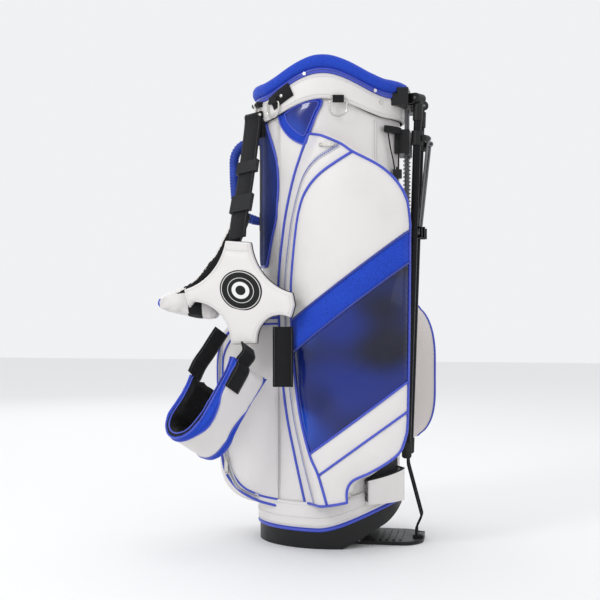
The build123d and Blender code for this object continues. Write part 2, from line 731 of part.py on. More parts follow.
def buckle(place, start, end, share, length):
    """Frame with a slot that rides on the webbing, part of the way along one straight run of its path."""
    run = Vector(end[0] - start[0], end[1] - start[1], 0)
    heading = degrees(atan2(run.Y, run.X))
    left = Vector(-run.Y, run.X, 0).normalized() * (WEB_T / 2)
    middle = Vector(start[0], start[1], 0) + run * share + left
    with BuildPart() as frame:
        with BuildSketch(place):
            with Locations(Location((middle.X, middle.Y), heading)):
                Rectangle(length, 8)
        extrude(amount=WEB_W / 2 + 4, both=True)
        with BuildSketch(place, mode=Mode.PRIVATE) as slot:
            with Locations(Location((middle.X, middle.Y), heading)):
                Rectangle(length + 4, WEB_T + 0.6)
        extrude(slot.sketch, amount=WEB_W / 2 + 0.4, both=True, mode=Mode.SUBTRACT)
    return frame.part


STAR_TURN = 13.0          # the star pad's own turn about Z
star_x = Vector(cos(radians(STAR_TURN)), -sin(radians(STAR_TURN)), 0)
star_plane = Plane(origin=hung(-159, -124, 461), x_dir=star_x, z_dir=star_x.cross(UP))
STAR_T = 14.0
with BuildPart() as star_pad:
    with BuildSketch(star_plane.offset(-STAR_T / 2)):
        with BuildLine():
            Line((-32, 87), (14, 83))
            ThreePointArc((14, 83), (34, 33), (94, -6))
            Polyline((94, -6), (98, -26), (92, -46))
            ThreePointArc((92, -46), (46, -50), (26, -92))
            Line((26, -92), (-21, -94))
            ThreePointArc((-21, -94), (-45, -40), (-98, -19))
            Polyline((-98, -19), (-106, -29), (-115, 1))
            ThreePointArc((-115, 1), (-52, 42), (-32, 87))
        make_face()
    extrude(amount=STAR_T)
write(star_pad.part, "star_pad")

with BuildPart() as star_badge:
    with BuildSketch(star_plane.offset(STAR_T / 2)):
        with Locations(Location((0, 0), -18)):
            Ellipse(42, 35)
    extrude(amount=1.6)
write(star_badge.part, "star_badge")

# the lower shoulder pad hangs in a loop; its own directions are across its width, along it and round it
PAD_ANGLE = radians(38.0)
PAD_LEAN = radians(18.0)
pad_width_dir = ACROSS * 0.77 * cos(PAD_ANGLE) - UP * 0.64 * cos(PAD_ANGLE) + BACK * sin(PAD_ANGLE)
pad_rise = ACROSS * 0.64 + UP * 0.77
pad_depth = pad_width_dir.cross(pad_rise).normalized() * -1
pad_along = (pad_rise * cos(PAD_LEAN) + pad_depth * sin(PAD_LEAN)).normalized()
pad_front = Vector(-148, -185, 260)
pad_plane = Plane(origin=pad_front, x_dir=pad_along, z_dir=pad_width_dir)
PAD_T = 15.0
PAD_W = 94.0
PAD_DEPTH = 92.0
with BuildPart() as shoulder_pad_lower:
    with BuildSketch(pad_plane.offset(-PAD_W / 2)):
        with BuildLine():
            Line((80, 0), (-55, 0))
            ThreePointArc((-55, 0), (-55 - PAD_DEPTH / 2, -PAD_DEPTH / 2), (-55, -PAD_DEPTH))
            Polyline((-55, -PAD_DEPTH), (25, -PAD_DEPTH), (25, PAD_T - PAD_DEPTH), (-55, PAD_T - PAD_DEPTH))
            ThreePointArc(
                (-55, PAD_T - PAD_DEPTH), (-55 - PAD_DEPTH / 2 + PAD_T, -PAD_DEPTH / 2), (-55, -PAD_T)
            )
            Polyline((-55, -PAD_T), (80, -PAD_T), (80, 0))
        make_face()
    extrude(amount=PAD_W)
write(shoulder_pad_lower.part, "shoulder_pad_lower")

# the upper shoulder pad sticks out beside the spine with its end folded under
upper_plane = Plane(origin=hung(0, -68, 0), x_dir=ACROSS, z_dir=BACK * -1)
with BuildPart() as shoulder_pad_upper:
    with BuildSketch(upper_plane):
        with BuildLine():
            Spline((-172, 612), (-200, 551), (-231, 500), (-280, 461), (-312, 452))
            ThreePointArc((-312, 452), (-321, 440), (-309, 428))
            Polyline((-309, 428), (-248, 414), (-212, 407), (-206, 420), (-232, 448))
            Spline((-232, 448), (-196, 500), (-170, 556), (-150, 606))
            Line((-150, 606), (-172, 612))
        make_face()
    extrude(amount=-70)
write(shoulder_pad_upper.part, "shoulder_pad_upper")

with BuildPart() as strap_webbing:
    add(webbing(web_plane, WEB_PATH, WEB_W, 60))
    add(webbing(pad_plane, [(22, 0.3), (90, 0.3), (106, -15)], 34, 20, middle=-21))
    add(webbing(pad_plane, [(25.3, -86), (70, -87), (116, -83)], 34, 60, middle=-35))
    add(webbing(Plane(origin=hung(-106, -136, 397), x_dir=BACK, z_dir=ACROSS), [(0, 0), (2, -50), (0, -106)], 36, 60))
write(strap_webbing.part, "strap_webbing")

with BuildPart() as strap_buckles:
    add(buckle(web_plane, WEB_PATH[1], WEB_PATH[2], 0.6, 24))
    add(buckle(web_plane, WEB_PATH[2], WEB_PATH[3], 0.55, 34))
write(strap_buckles.part, "strap_buckles")


# ---------------------------------------------------------------- legs
def leg_plane(side):
    """Plane in which one leg swings: x is outward, y is up, and the origin is the leg's pivot."""
    outward = Vector(cos(radians(LEG_SPLAY)), side * sin(radians(LEG_SPLAY)), 0)
    return Plane(origin=(LEG_X, side * LEG_Y, LEG_Z), x_dir=outward, z_dir=outward.cross(UP))


def along_leg(distance, out=0.0):
    """Point in a leg's plane at a distance down the folded leg, and beside it on the outer side."""
    tilt = radians(LEG_TILT)
    return out * cos(tilt) - distance * sin(tilt), -distance * cos(tilt) - out * sin(tilt)


def inward(side, distance):
    """Height above a leg's plane that is a distance towards the other leg."""
    return side * distance


def leg_tube_plane(side, distance):
    """Plane across a folded leg at a distance below its pivot."""
    plane = leg_plane(side)
    down = plane.from_local_coords(Vector(*along_leg(1.0), 0)) - plane.origin
    point = plane.from_local_coords(Vector(*along_leg(distance), 0))
    return Plane(origin=point, x_dir=plane.z_dir, z_dir=down)


CLEVIS_GAP = 7.6          # half the gap between a clevis's two ears
EAR = 4.0
HEAD_HALF = 7.2
NECK_R = 6.3
PIN_R = 2.5
EYE_HALF = 2.9            # half the thickness of a strut's upper eye
HOOK_PIN_R = 2.3          # the strut's lower pin, in the slider's window
HEAD_SOCKET = 40.0
BRACKET_X = 150.0
BRACKET_Y = 62.0
BRACKET_LOW = 796.0
BRACKET_HIGH = 828.0

with BuildPart() as leg_bracket:
    with Locations(((BRACKET_X + 110) / 2, 0, (BRACKET_LOW + BRACKET_HIGH) / 2)):
        Box(BRACKET_X - 110, 2 * BRACKET_Y, BRACKET_HIGH - BRACKET_LOW)
    for side in (-1, 1):
        for ear in (-1, 1):
            with BuildSketch(leg_plane(side).offset(ear * (CLEVIS_GAP + EAR / 2) - EAR / 2)):
                Circle(9)
                with Locations((-18, 0)):
                    Rectangle(36, 18)
                Circle(PIN_R, mode=Mode.SUBTRACT)
            extrude(amount=EAR)
    add(oval_block(CUFF_OUT), mode=Mode.SUBTRACT)
    add(oval_block(PIPE_OUT + POCKET_GAP, low=RIM_TOP - CUFF_TOP_DROP - POCKET_GAP), mode=Mode.SUBTRACT)
    add(oval_block(PAD_OUT + POCKET_GAP, low=RIM_TOP - RIM_PAD - 0.5), mode=Mode.SUBTRACT)
    with Locations((ROD_X, ROD_Y, BRACKET_LOW + 4), (ROD_X, -ROD_Y, BRACKET_LOW + 4)):
        Cylinder(ROD_R, 8.2, mode=Mode.SUBTRACT)
    with Locations((BRACKET_X, -12, 812), (BRACKET_X, 12, 812)):
        Cylinder(2.0, 24, rotation=(0, 90, 0), mode=Mode.SUBTRACT)
write(leg_bracket.part, "leg_bracket")

with BuildPart() as bracket_screws:
    with Locations((BRACKET_X - 4, -12, 812), (BRACKET_X - 4, 12, 812)):
        Cylinder(2.0, 8, rotation=(0, 90, 0))
    with Locations((BRACKET_X + 1.25, -12, 812), (BRACKET_X + 1.25, 12, 812)):
        Cylinder(4.0, 2.5, rotation=(0, 90, 0))
write(bracket_screws.part, "bracket_screws")

with BuildPart() as hinge_pins:
    for side in (-1, 1):
        with BuildSketch(leg_plane(side)):
            Circle(PIN_R)
        extrude(amount=CLEVIS_GAP + EAR + 1, both=True)
    with Locations((PEDAL_X, 0, PEDAL_Z)):
        Cylinder(2.0, 2 * PEDAL_Y + 16, rotation=(90, 0, 0))
write(hinge_pins.part, "hinge_pins")

for side, side_name in ((-1, "near"), (1, "far")):
    swing = leg_plane(side)
    collar_point = along_leg(COLLAR_AT, COLLAR_OUT)

    with BuildPart() as leg_tube:
        with BuildSketch(leg_tube_plane(side, 12)):
            Circle(LEG_R)
            Circle(LEG_BORE, mode=Mode.SUBTRACT)
        extrude(amount=LEG_LENGTH - 12)
    write(leg_tube.part, f"leg_tube_{side_name}")

    with BuildPart() as leg_fittings:
        # head on the pivot pin, with a socket over the tube
        with BuildSketch(swing.offset(-HEAD_HALF)):
            Circle(9)
        extrude(amount=2 * HEAD_HALF)
        with BuildSketch(leg_tube_plane(side, 0)):
            Circle(NECK_R)
        extrude(amount=12)
        with BuildSketch(leg_tube_plane(side, 11)):
            Circle(LEG_R + 2)
        extrude(amount=HEAD_SOCKET - 11)
        # collar that holds the strut's pin
        with BuildSketch(leg_tube_plane(side, COLLAR_AT - 13)):
            Circle(LEG_R + 3.5)
        extrude(amount=26)
        with BuildSketch(swing.offset(min(0, inward(side, STRUT_SIDE - 3)))):
            with Locations(collar_point):
                Circle(6)
        extrude(amount=STRUT_SIDE - 3)
        with BuildSketch(swing.offset(min(0, inward(side, STRUT_SIDE + 4.5)))):
            with Locations(collar_point):
                Circle(2)
        extrude(amount=STRUT_SIDE + 4.5)
        with BuildSketch(leg_tube_plane(side, 12)):
            Circle(LEG_R)
        extrude(amount=LEG_LENGTH - 12, mode=Mode.SUBTRACT)
        with BuildSketch(swing, mode=Mode.PRIVATE) as pin_bore:
            Circle(PIN_R + FIT)
        extrude(pin_bore.sketch, amount=20, both=True, mode=Mode.SUBTRACT)
    write(leg_fittings.part, f"leg_fittings_{side_name}")

    with BuildPart() as foot:
        with BuildSketch(leg_tube_plane(side, LEG_LENGTH - 26)):
            Circle(FOOT_R)
        extrude(amount=30)
        fillet(foot.faces().sort_by(Axis.Z)[0].edges(), 5)
        add(leg_tube.part, mode=Mode.SUBTRACT)
    write(foot.part, f"foot_{side_name}")

    strut_pin = Vector(STRUT_IN, -STRUT_DROP)
    strut_run = Vector(strut_pin.X - collar_point[0], strut_pin.Y - collar_point[1], 0)
    with BuildPart() as strut:
        with BuildSketch(swing.offset(inward(side, STRUT_SIDE) - EYE_HALF)):
            with Locations(collar_point):
                Circle(5)
        extrude(amount=2 * EYE_HALF)
        start = swing.from_local_coords(
            Vector(*collar_point, inward(side, STRUT_SIDE)) + strut_run.normalized() * 4
        )
        finish = swing.from_local_coords(Vector(strut_pin.X, strut_pin.Y, inward(side, STRUT_SIDE)))
        with BuildSketch(Plane(origin=start, z_dir=finish - start)):
            Circle(STRUT_R)
        extrude(amount=(finish - start).length)
        with BuildSketch(swing.offset(inward(side, STRUT_SIDE) - 6.5)):
            with Locations((strut_pin.X, strut_pin.Y)):
                Circle(HOOK_PIN_R)
        extrude(amount=13)
        with BuildSketch(swing.offset(inward(side, STRUT_SIDE) - EYE_HALF), mode=Mode.PRIVATE) as eye_bore:
            with Locations(collar_point):
                Circle(2 + FIT)
        extrude(eye_bore.sketch, amount=2 * EYE_HALF, mode=Mode.SUBTRACT)
    write(strut.part, f"strut_{side_name}")

    pin_world = swing.from_local_coords(Vector(*collar_point, 0))
    print(side_name, "leg axis", swing.z_dir, "pivot", swing.origin, "strut pin", pin_world)


# ---------------------------------------------------------------- slider, guides and pedal
def guide(low, high, out_x, half_y, bore):
    """Block that hugs the body, with a bore for each guide rod."""
    with BuildPart() as block:
        with Locations(((out_x + 110) / 2, 0, (low + high) / 2)):
            Box(out_x - 110, 2 * half_y, high - low)
        with Locations((ROD_X, ROD_Y, (low + high) / 2), (ROD_X, -ROD_Y, (low + high) / 2)):
            Cylinder(bore, high - low + 2, mode=Mode.SUBTRACT)
        add(oval_block(POCKET_GAP), mode=Mode.SUBTRACT)
    return block.part


write(guide(BLOCK_BOTTOM, BLOCK_TOP, 150, 36, ROD_R), "guide_block")

with BuildPart() as lower_guide:
    add(guide(LOWER_GUIDE, LOWER_GUIDE + 12, 149, 33, ROD_R))
    with Locations((ROD_X, WIRE_Y, LOWER_GUIDE + 6), (ROD_X, -WIRE_Y, LOWER_GUIDE + 6)):
        Cylinder(WIRE_R + 1.2, 14, mode=Mode.SUBTRACT)
write(lower_guide.part, "lower_guide")

with BuildPart() as guide_rods:
    with BuildSketch(Plane.XY.offset(LOWER_GUIDE)):
        with Locations((ROD_X, ROD_Y), (ROD_X, -ROD_Y)):
            Circle(ROD_R)
    extrude(amount=BRACKET_LOW + 8 - LOWER_GUIDE)
write(guide_rods.part, "guide_rods")

SPRING_GAP = 0.4
SPRING_PITCH = 7.2
SPRING_FOOT = SLIDER_TOP + SPRING_GAP + SPRING_WIRE
SPRING_RISE = BLOCK_BOTTOM - SPRING_GAP - SPRING_WIRE - SPRING_FOOT
with BuildPart() as return_springs:
    for rod_y in (-ROD_Y, ROD_Y):
        coil = Helix(SPRING_PITCH, SPRING_RISE, SPRING_R, center=(ROD_X, rod_y, SPRING_FOOT))
        coil_start = Plane(origin=coil @ 0, z_dir=coil % 0)
        with BuildSketch(coil_start):
            Circle(SPRING_WIRE)
        sweep(path=coil, is_frenet=True)
write(return_springs.part, "return_springs")

SLIDER_X = 148.0
SLIDER_Y = 36.0
WINDOW = 2 * (STRUT_R + SLIP)
with BuildPart() as slider:
    with Locations(((SLIDER_X + 110) / 2, 0, (SLIDER_TOP + SLIDER_BOTTOM) / 2)):
        Box(SLIDER_X - 110, 2 * SLIDER_Y, SLIDER_TOP - SLIDER_BOTTOM)
    for side in (-1, 1):
        for cheek in (-1, 1):
            cheek_middle = inward(side, STRUT_SIDE + cheek * 4.8)
            with BuildSketch(leg_plane(side).offset(cheek_middle - 1.5)):
                with Locations((-15, -STRUT_DROP)):
                    Rectangle(33, 20)
                with Locations((STRUT_IN, -STRUT_DROP)):
                    Rectangle(WINDOW, WINDOW, mode=Mode.SUBTRACT)
            extrude(amount=3)
    add(oval_block(1.0), mode=Mode.SUBTRACT)
    with Locations((ROD_X, ROD_Y, SLIDER_TOP - 15), (ROD_X, -ROD_Y, SLIDER_TOP - 15)):
        Cylinder(ROD_R + FIT, 40, mode=Mode.SUBTRACT)
    with Locations((ROD_X, WIRE_Y, SLIDER_BOTTOM + 5), (ROD_X, -WIRE_Y, SLIDER_BOTTOM + 5)):
        Cylinder(WIRE_R, 10.2, mode=Mode.SUBTRACT)
write(slider.part, "slider")

WIRE_END_X = 161.0
with BuildPart() as actuator_wires:
    for wire_y in (-WIRE_Y, WIRE_Y):
        with BuildLine():
            wire_path = FilletPolyline(
                (ROD_X, wire_y, SLIDER_BOTTOM + 10),
                (ROD_X, wire_y, LOWER_GUIDE - 40),
                (145.5, wire_y, 141),
                (171, wire_y, 46),
                (WIRE_END_X, wire_y, 24),
                (WIRE_END_X, wire_y, 3),
                radius=(60, 30, 12, 8),
            )
        with BuildSketch(Plane(origin=wire_path @ 0, z_dir=wire_path % 0)):
            Circle(WIRE_R)
        sweep(path=wire_path)
write(actuator_wires.part, "actuator_wires")

with BuildPart() as pedal:
    with BuildSketch(Plane.XY.offset(PEDAL_GAP)):
        with BuildLine():
            Polyline((138, -PEDAL_Y), (PEDAL_X, -PEDAL_Y), (PEDAL_X, PEDAL_Y), (138, PEDAL_Y))
            ThreePointArc((138, PEDAL_Y), (164, 46), (PEDAL_TIP, 20))
            Line((PEDAL_TIP, 20), (PEDAL_TIP, -20))
            ThreePointArc((PEDAL_TIP, -20), (164, -46), (138, -PEDAL_Y))
        make_face()
    extrude(amount=PEDAL_TOP - PEDAL_GAP)
    with Locations((PEDAL_X, 0, PEDAL_Z)):
        Cylinder(4.2, 2 * PEDAL_Y, rotation=(90, 0, 0))
    with Locations((165, 0, PEDAL_TOP + 2)):
        Box(2 * (PEDAL_TIP - 165), 40, 6)
    # sockets for the wires' ends, long enough for their drift as the pedal tips
    with BuildSketch(Plane.XY.offset(2)):
        with Locations((164.75, -WIRE_Y), (164.75, WIRE_Y)):
            Rectangle(13.5, 2 * WIRE_R + 1.6)
    extrude(amount=20, mode=Mode.SUBTRACT)
    # treads
    with BuildSketch(Plane.XY.offset(PEDAL_TOP)):
        with Locations(*[(x, 0) for x in (86, 98, 110, 122, 134)]):
            SlotOverall(96, 4, rotation=90)
    extrude(amount=1.5)
    with Locations((PEDAL_X, 0, PEDAL_Z)):
        Cylinder(2.0 + FIT, 2 * PEDAL_Y + 10, rotation=(90, 0, 0), mode=Mode.SUBTRACT)
write(pedal.part, "pedal")
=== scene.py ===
"""The looks of a golf stand bag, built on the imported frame.

Object lengths are written in millimetres in the frame's own directions: +Z up, +X towards the legs and
-Y towards the long pocket.  spot() turns them into Blender's metres.
"""

from math import atan2, cos, exp, pi, radians, sin, sqrt

import bpy
import numpy as np
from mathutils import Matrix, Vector, geometry, noise
from mathutils.bvhtree import BVHTree


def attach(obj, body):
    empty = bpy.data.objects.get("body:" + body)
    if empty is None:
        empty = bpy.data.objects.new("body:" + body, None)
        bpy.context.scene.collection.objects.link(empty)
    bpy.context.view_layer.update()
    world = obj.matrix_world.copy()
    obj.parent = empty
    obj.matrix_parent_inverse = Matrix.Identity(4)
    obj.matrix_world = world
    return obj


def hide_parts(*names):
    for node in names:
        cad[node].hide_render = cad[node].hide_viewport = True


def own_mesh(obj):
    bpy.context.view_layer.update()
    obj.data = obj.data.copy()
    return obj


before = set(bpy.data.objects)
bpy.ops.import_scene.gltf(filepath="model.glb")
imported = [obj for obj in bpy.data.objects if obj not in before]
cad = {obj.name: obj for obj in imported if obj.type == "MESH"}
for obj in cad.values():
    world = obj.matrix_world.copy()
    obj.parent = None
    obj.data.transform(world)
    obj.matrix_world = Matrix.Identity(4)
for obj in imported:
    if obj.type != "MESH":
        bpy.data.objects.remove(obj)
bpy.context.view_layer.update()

MM = 0.001
UP = Vector((0, 0, 1))
BODY_X = 130.0            # half the body's width, and half its depth (mm)
BODY_Y = 110.0
WAVE_X = 112.0            # where the rim's rise ends, either way from the middle
WAVE_POWER = 0.76
RIM_RISE = 39.0
STITCH = 0.0042           # from one stitch to the next (m)
FINE_STITCH = 0.0035
PIPE = 0.0024             # radius of ordinary and of thin piping (m)
THIN_PIPE = 0.0022


def spot(x, y, z):
    """A place given in millimetres."""
    return Vector((x, y, z)) * MM


# ---------------------------------------------------------------- camera
VIEW_TURN = radians(10.0)
VIEW_DISTANCE = 2.1
VIEW_SHIFT = -0.058
camera_data = bpy.data.cameras.new("camera")
camera_data.lens = 67.0
camera_data.sensor_width = 36.0
camera_data.clip_start = 0.05
camera = bpy.data.objects.new("camera", camera_data)
camera.location = (
    VIEW_DISTANCE * sin(VIEW_TURN) + VIEW_SHIFT * cos(VIEW_TURN),
    -VIEW_DISTANCE * cos(VIEW_TURN) + VIEW_SHIFT * sin(VIEW_TURN),
    0.444,
)
camera.rotation_euler = (radians(90), 0, VIEW_TURN)
bpy.context.scene.collection.objects.link(camera)
bpy.context.scene.camera = camera


# ---------------------------------------------------------------- materials
class Finish:
    """A principled material whose colour and bump are built from nodes."""

    def __init__(self, name, colour, roughness, **sockets):
        self.material = bpy.data.materials.new(name)
        self.material.use_nodes = True
        self.nodes = self.material.node_tree.nodes
        self.links = self.material.node_tree.links
        self.shader = self.nodes["Principled BSDF"]
        self.set(self.shader, "Base Color", (*colour, 1))
        self.set(self.shader, "Roughness", roughness)
        for socket, value in sockets.items():
            self.set(self.shader, socket.replace("_", " "), value)
        self.colour = colour
        self.normal = None
        coordinates = self.nodes.new("ShaderNodeTexCoord")
        self.place = coordinates.outputs["Object"]
        self.cloth = coordinates.outputs["UV"]

    def set(self, node, socket, value):
        """Link a socket to another node's output, or give it a plain value."""
        if isinstance(value, bpy.types.NodeSocket):
            self.links.new(value, node.inputs[socket])
        else:
            node.inputs[socket].default_value = value

    def noise(self, scale, detail=3.0, where=None):
        node = self.nodes.new("ShaderNodeTexNoise")
        self.set(node, "Vector", where or self.place)
        self.set(node, "Scale", scale)
        self.set(node, "Detail", detail)
        return node.outputs["Fac"]

    def cells(self, scale, feature="F1", where=None):
        node = self.nodes.new("ShaderNodeTexVoronoi")
        node.feature = feature
        self.set(node, "Vector", where or self.place)
        self.set(node, "Scale", scale)
        return node.outputs["Distance"]

    def math(self, operation, first, second=0.0):
        node = self.nodes.new("ShaderNodeMath")
        node.operation = operation
        self.set(node, 0, first)
        self.set(node, 1, second)
        return node.outputs[0]

    def ramp(self, value, low, high):
        """0 below low, 1 above high, and smooth between."""
        node = self.nodes.new("ShaderNodeMapRange")
        node.interpolation_type = "SMOOTHSTEP"
        self.set(node, "Value", value)
        self.set(node, "From Min", low)
        self.set(node, "From Max", high)
        return node.outputs[0]

    def waves(self, axis, pitch, shift=0.0, where=None):
        """A sine of the given pitch in metres along one axis of the cloth's own coordinates."""
        split = self.nodes.new("ShaderNodeSeparateXYZ")
        self.set(split, 0, where or self.cloth)
        turns = self.math("MULTIPLY", split.outputs[axis], 2 * pi / pitch)
        return self.math("SINE", self.math("ADD", turns, shift))

    def tint(self, factor, other, share=None):
        """Mix the base colour towards another where factor is 1, or only by a share of it."""
        if share is not None:
            factor = self.math("MULTIPLY", factor, share)
        node = self.nodes.new("ShaderNodeMix")
        node.data_type = "RGBA"
        self.set(node, 0, factor)
        source = self.shader.inputs["Base Color"]
        if source.is_linked:
            self.links.new(source.links[0].from_socket, node.inputs[6])
        else:
            node.inputs[6].default_value = source.default_value
        node.inputs[7].default_value = (*other, 1)
        self.links.new(node.outputs[2], source)
        return self

    def rough(self, factor, low, high):
        node = self.nodes.new("ShaderNodeMapRange")
        self.set(node, "Value", factor)
        self.set(node, "To Min", low)
        self.set(node, "To Max", high)
        self.links.new(node.outputs[0], self.shader.inputs["Roughness"])
        return self

    def bump(self, height, depth, strength=1.0):
        """Add relief of the given depth in metres on top of what is there."""
        node = self.nodes.new("ShaderNodeBump")
        self.set(node, "Height", height)
        self.set(node, "Distance", depth)
        self.set(node, "Strength", strength)
        if self.normal is not None:
            self.links.new(self.normal, node.inputs["Normal"])
        self.normal = node.outputs[0]
        self.links.new(self.normal, self.shader.inputs["Normal"])
        return self


def dimmed(colour, share):
    """A darker version of a colour."""
    return tuple(part * share for part in colour)


def leatherette(name, colour, shade):
    """Coated fabric with a fine pebble grain, soft wrinkles and slight soiling."""
    finish = Finish(name, colour, 0.42, Coat_Weight=0.12, Coat_Roughness=0.35)
    soiling = finish.ramp(finish.noise(7.0, 4.0), 0.48, 0.75)
    finish.tint(soiling, shade, 0.35)
    finish.tint(finish.ramp(finish.cells(1100.0), 0.35, 0.7), shade, 0.10)
    finish.rough(finish.noise(30.0), 0.36, 0.52)
    finish.bump(finish.noise(16.0, 2.0), 0.004, 0.35)
    finish.bump(finish.cells(1100.0), 0.00025, 0.6)
    return finish.material


def spacer_mesh(name, colour, hole):
    """Knitted spacer mesh: small round holes in an even field."""
    finish = Finish(name, colour, 0.72, Sheen_Weight=0.12, Sheen_Roughness=0.4, Specular_IOR_Level=0.25)
    holes = finish.ramp(finish.cells(420.0), 0.38, 0.14)
    finish.tint(holes, hole, 0.75)
    finish.tint(finish.noise(25.0), hole, 0.25)
    finish.bump(finish.cells(420.0), 0.0009, 0.8)
    return finish.material


# Brighter blue painted onto the patent: a painted highlight that stands in for glints of reflected light.
PATENT_PAINTED_GLINT = (0.01, 0.09, 0.62)


def patent(name, colour, deep):
    """Glossy coated fabric with slow waves that break up its highlights, and painted highlight streaks of
    brighter blue.
    """
    finish = Finish(name, colour, 0.2, Coat_Weight=0.6, Coat_Roughness=0.05, Specular_IOR_Level=0.2)
    finish.tint(finish.ramp(finish.noise(6.0, 1.0), 0.40, 0.58), deep)
    # Painted highlight: brighter blue glints mixed in wherever a slow noise is high.
    finish.tint(finish.ramp(finish.noise(9.0, 0.5), 0.56, 0.72), PATENT_PAINTED_GLINT, 0.5)
    finish.rough(finish.noise(60.0), 0.16, 0.26)
    finish.bump(finish.noise(9.0, 1.0), 0.012, 0.8)
    finish.bump(finish.noise(900.0, 2.0), 0.00006, 0.5)
    return finish.material


def moulded(name, colour, roughness, grain=700.0):
    """Moulded plastic or rubber with a spark-eroded texture and rubbed high spots."""
    finish = Finish(name, colour, roughness, Specular_IOR_Level=0.35)
    rubbed = tuple(min(1.0, part * 1.6 + 0.008) for part in colour)
    finish.tint(finish.ramp(finish.noise(45.0, 5.0), 0.55, 0.75), rubbed, 0.5)
    finish.rough(finish.noise(80.0), roughness - 0.08, roughness + 0.1)
    finish.bump(finish.noise(grain, 2.0), 0.00012, 0.6)
    return finish.material


def tape(name, colour, thread, solid=False):
    """Woven webbing: twill ribs along the tape and a fine pick across it.

    A solid one is for pieces that have no cloth coordinates.
    """
    finish = Finish(name, colour, 0.62, Sheen_Weight=0.05, Specular_IOR_Level=0.25)
    where = finish.place if solid else finish.cloth
    ribs = finish.waves(2 if solid else 1, 0.0022, where=where)
    picks = finish.waves(0, 0.0012, shift=finish.math("MULTIPLY", ribs, 1.4), where=where)
    weave = finish.math("MULTIPLY", finish.math("ADD", picks, 1.0), 0.5)
    finish.tint(weave, thread, 0.55)
    finish.tint(finish.ramp(finish.noise(60.0), 0.5, 0.8), thread, 0.3)
    finish.bump(weave, 0.0003, 0.7)
    finish.bump(ribs, 0.0003, 0.5)
    return finish.material


def metal(name, colour, roughness):
    """Plated or anodised metal with fine draw lines."""
    finish = Finish(name, colour, roughness, Metallic=1.0)
    finish.tint(finish.noise(120.0, 4.0), dimmed(colour, 0.7), 0.4)
    finish.rough(finish.noise(200.0), roughness - 0.06, roughness + 0.12)
    finish.bump(finish.noise(1500.0), 0.00003, 0.5)
    return finish.material


def covered_cord(name, colour):
    """Piping: coated fabric pulled round a cord, with small puckers and painted shade along them."""
    finish = Finish(name, colour, 0.38, Coat_Weight=0.25, Coat_Roughness=0.25)
    puckers_and_shade = finish.waves(1, 0.0032)
    # Painted shade: the cord is darkened along the same waves that give the pucker bump.
    finish.tint(finish.ramp(puckers_and_shade, 0.2, 1.4), dimmed(colour, 0.45))
    finish.tint(finish.noise(40.0), dimmed(colour, 0.6), 0.3)
    finish.bump(puckers_and_shade, 0.00025, 0.6)
    return finish.material


def sewing_thread(name, colour):
    """Twisted polyester thread."""
    finish = Finish(name, colour, 0.55, Sheen_Weight=0.4)
    finish.tint(finish.noise(900.0), dimmed(colour, 0.7), 0.5)
    finish.bump(finish.noise(2500.0), 0.0001, 0.8)
    return finish.material


WHITE = leatherette("white_leatherette", (0.76, 0.735, 0.72), (0.60, 0.565, 0.55))
# The same white leatherette made darker for the far pocket: painted shade, because that side of the bag
# stands in shadow.
WHITE_IN_PAINTED_SHADE = leatherette("shaded_leatherette", (0.62, 0.57, 0.55), (0.48, 0.44, 0.42))
BLUE_MESH = spacer_mesh("blue_mesh", (0.013, 0.065, 0.56), (0.002, 0.010, 0.14))
BLACK_MESH = spacer_mesh("black_mesh", (0.005, 0.005, 0.006), (0.001, 0.001, 0.0015))
NAVY_MESH = spacer_mesh("navy_mesh", (0.010, 0.030, 0.20), (0.003, 0.006, 0.04))
PATENT = patent("navy_patent", (0.002, 0.016, 0.19), (0.0005, 0.002, 0.018))
PATENT_BLUE = patent("blue_patent", (0.006, 0.06, 0.60), (0.002, 0.012, 0.18))
PIPING = covered_cord("blue_piping", (0.050, 0.085, 0.62))
DARK_PIPING = covered_cord("navy_piping", (0.020, 0.040, 0.34))
BLACK_PLASTIC = moulded("black_plastic", (0.004, 0.004, 0.0045), 0.42)
GLOSS_PLASTIC = moulded("glossy_plastic", (0.006, 0.006, 0.007), 0.25, grain=300.0)
RUBBER = moulded("black_rubber", (0.012, 0.012, 0.012), 0.7)
GRIP = moulded("blue_grip", (0.014, 0.045, 0.33), 0.55)
ROD = moulded("glass_fibre", (0.62, 0.60, 0.50), 0.5)
WEBBING = tape("black_webbing", (0.002, 0.002, 0.0025), (0.011, 0.011, 0.013))
WOVEN = tape("black_woven_tab", (0.002, 0.002, 0.0025), (0.011, 0.011, 0.013), solid=True)
ZIP_TAPE = tape("zipper_tape", (0.60, 0.60, 0.66), (0.76, 0.76, 0.78))
LINING = tape("black_lining", (0.010, 0.010, 0.012), (0.030, 0.030, 0.034))
NICKEL = metal("nickel", (0.66, 0.64, 0.60), 0.24)
BLACK_METAL = metal("black_anodised", (0.018, 0.018, 0.020), 0.32)
STEEL = metal("zinc_steel", (0.16, 0.16, 0.17), 0.36)
THREAD = sewing_thread("white_thread", (0.85, 0.84, 0.82))
DARK_THREAD = sewing_thread("dark_thread", (0.03, 0.03, 0.035))


def emblem():
    """Badge: a black disc with a thin pale ring and a plain pale hub."""
    finish = Finish("badge_print", (0.003, 0.003, 0.0035), 0.4, Specular_IOR_Level=0.3)
    split = finish.nodes.new("ShaderNodeSeparateXYZ")
    finish.set(split, 0, finish.cloth)
    across = finish.math("MULTIPLY", split.outputs[0], split.outputs[0])
    along = finish.math("MULTIPLY", split.outputs[1], split.outputs[1])
    reach = finish.math("SQRT", finish.math("ADD", across, along))

    def ring(low, high):
        inner = finish.ramp(reach, low - 0.012, low + 0.012)
        outer = finish.ramp(reach, high + 0.012, high - 0.012)
        return finish.math("MULTIPLY", inner, outer)

    pale = (0.80, 0.80, 0.78)
    finish.tint(ring(0.90, 0.93), pale)
    finish.tint(ring(0.60, 0.625), pale)
    finish.tint(ring(0.24, 0.42), pale)
    finish.bump(finish.noise(500.0), 0.0001, 0.5)
    return finish.material


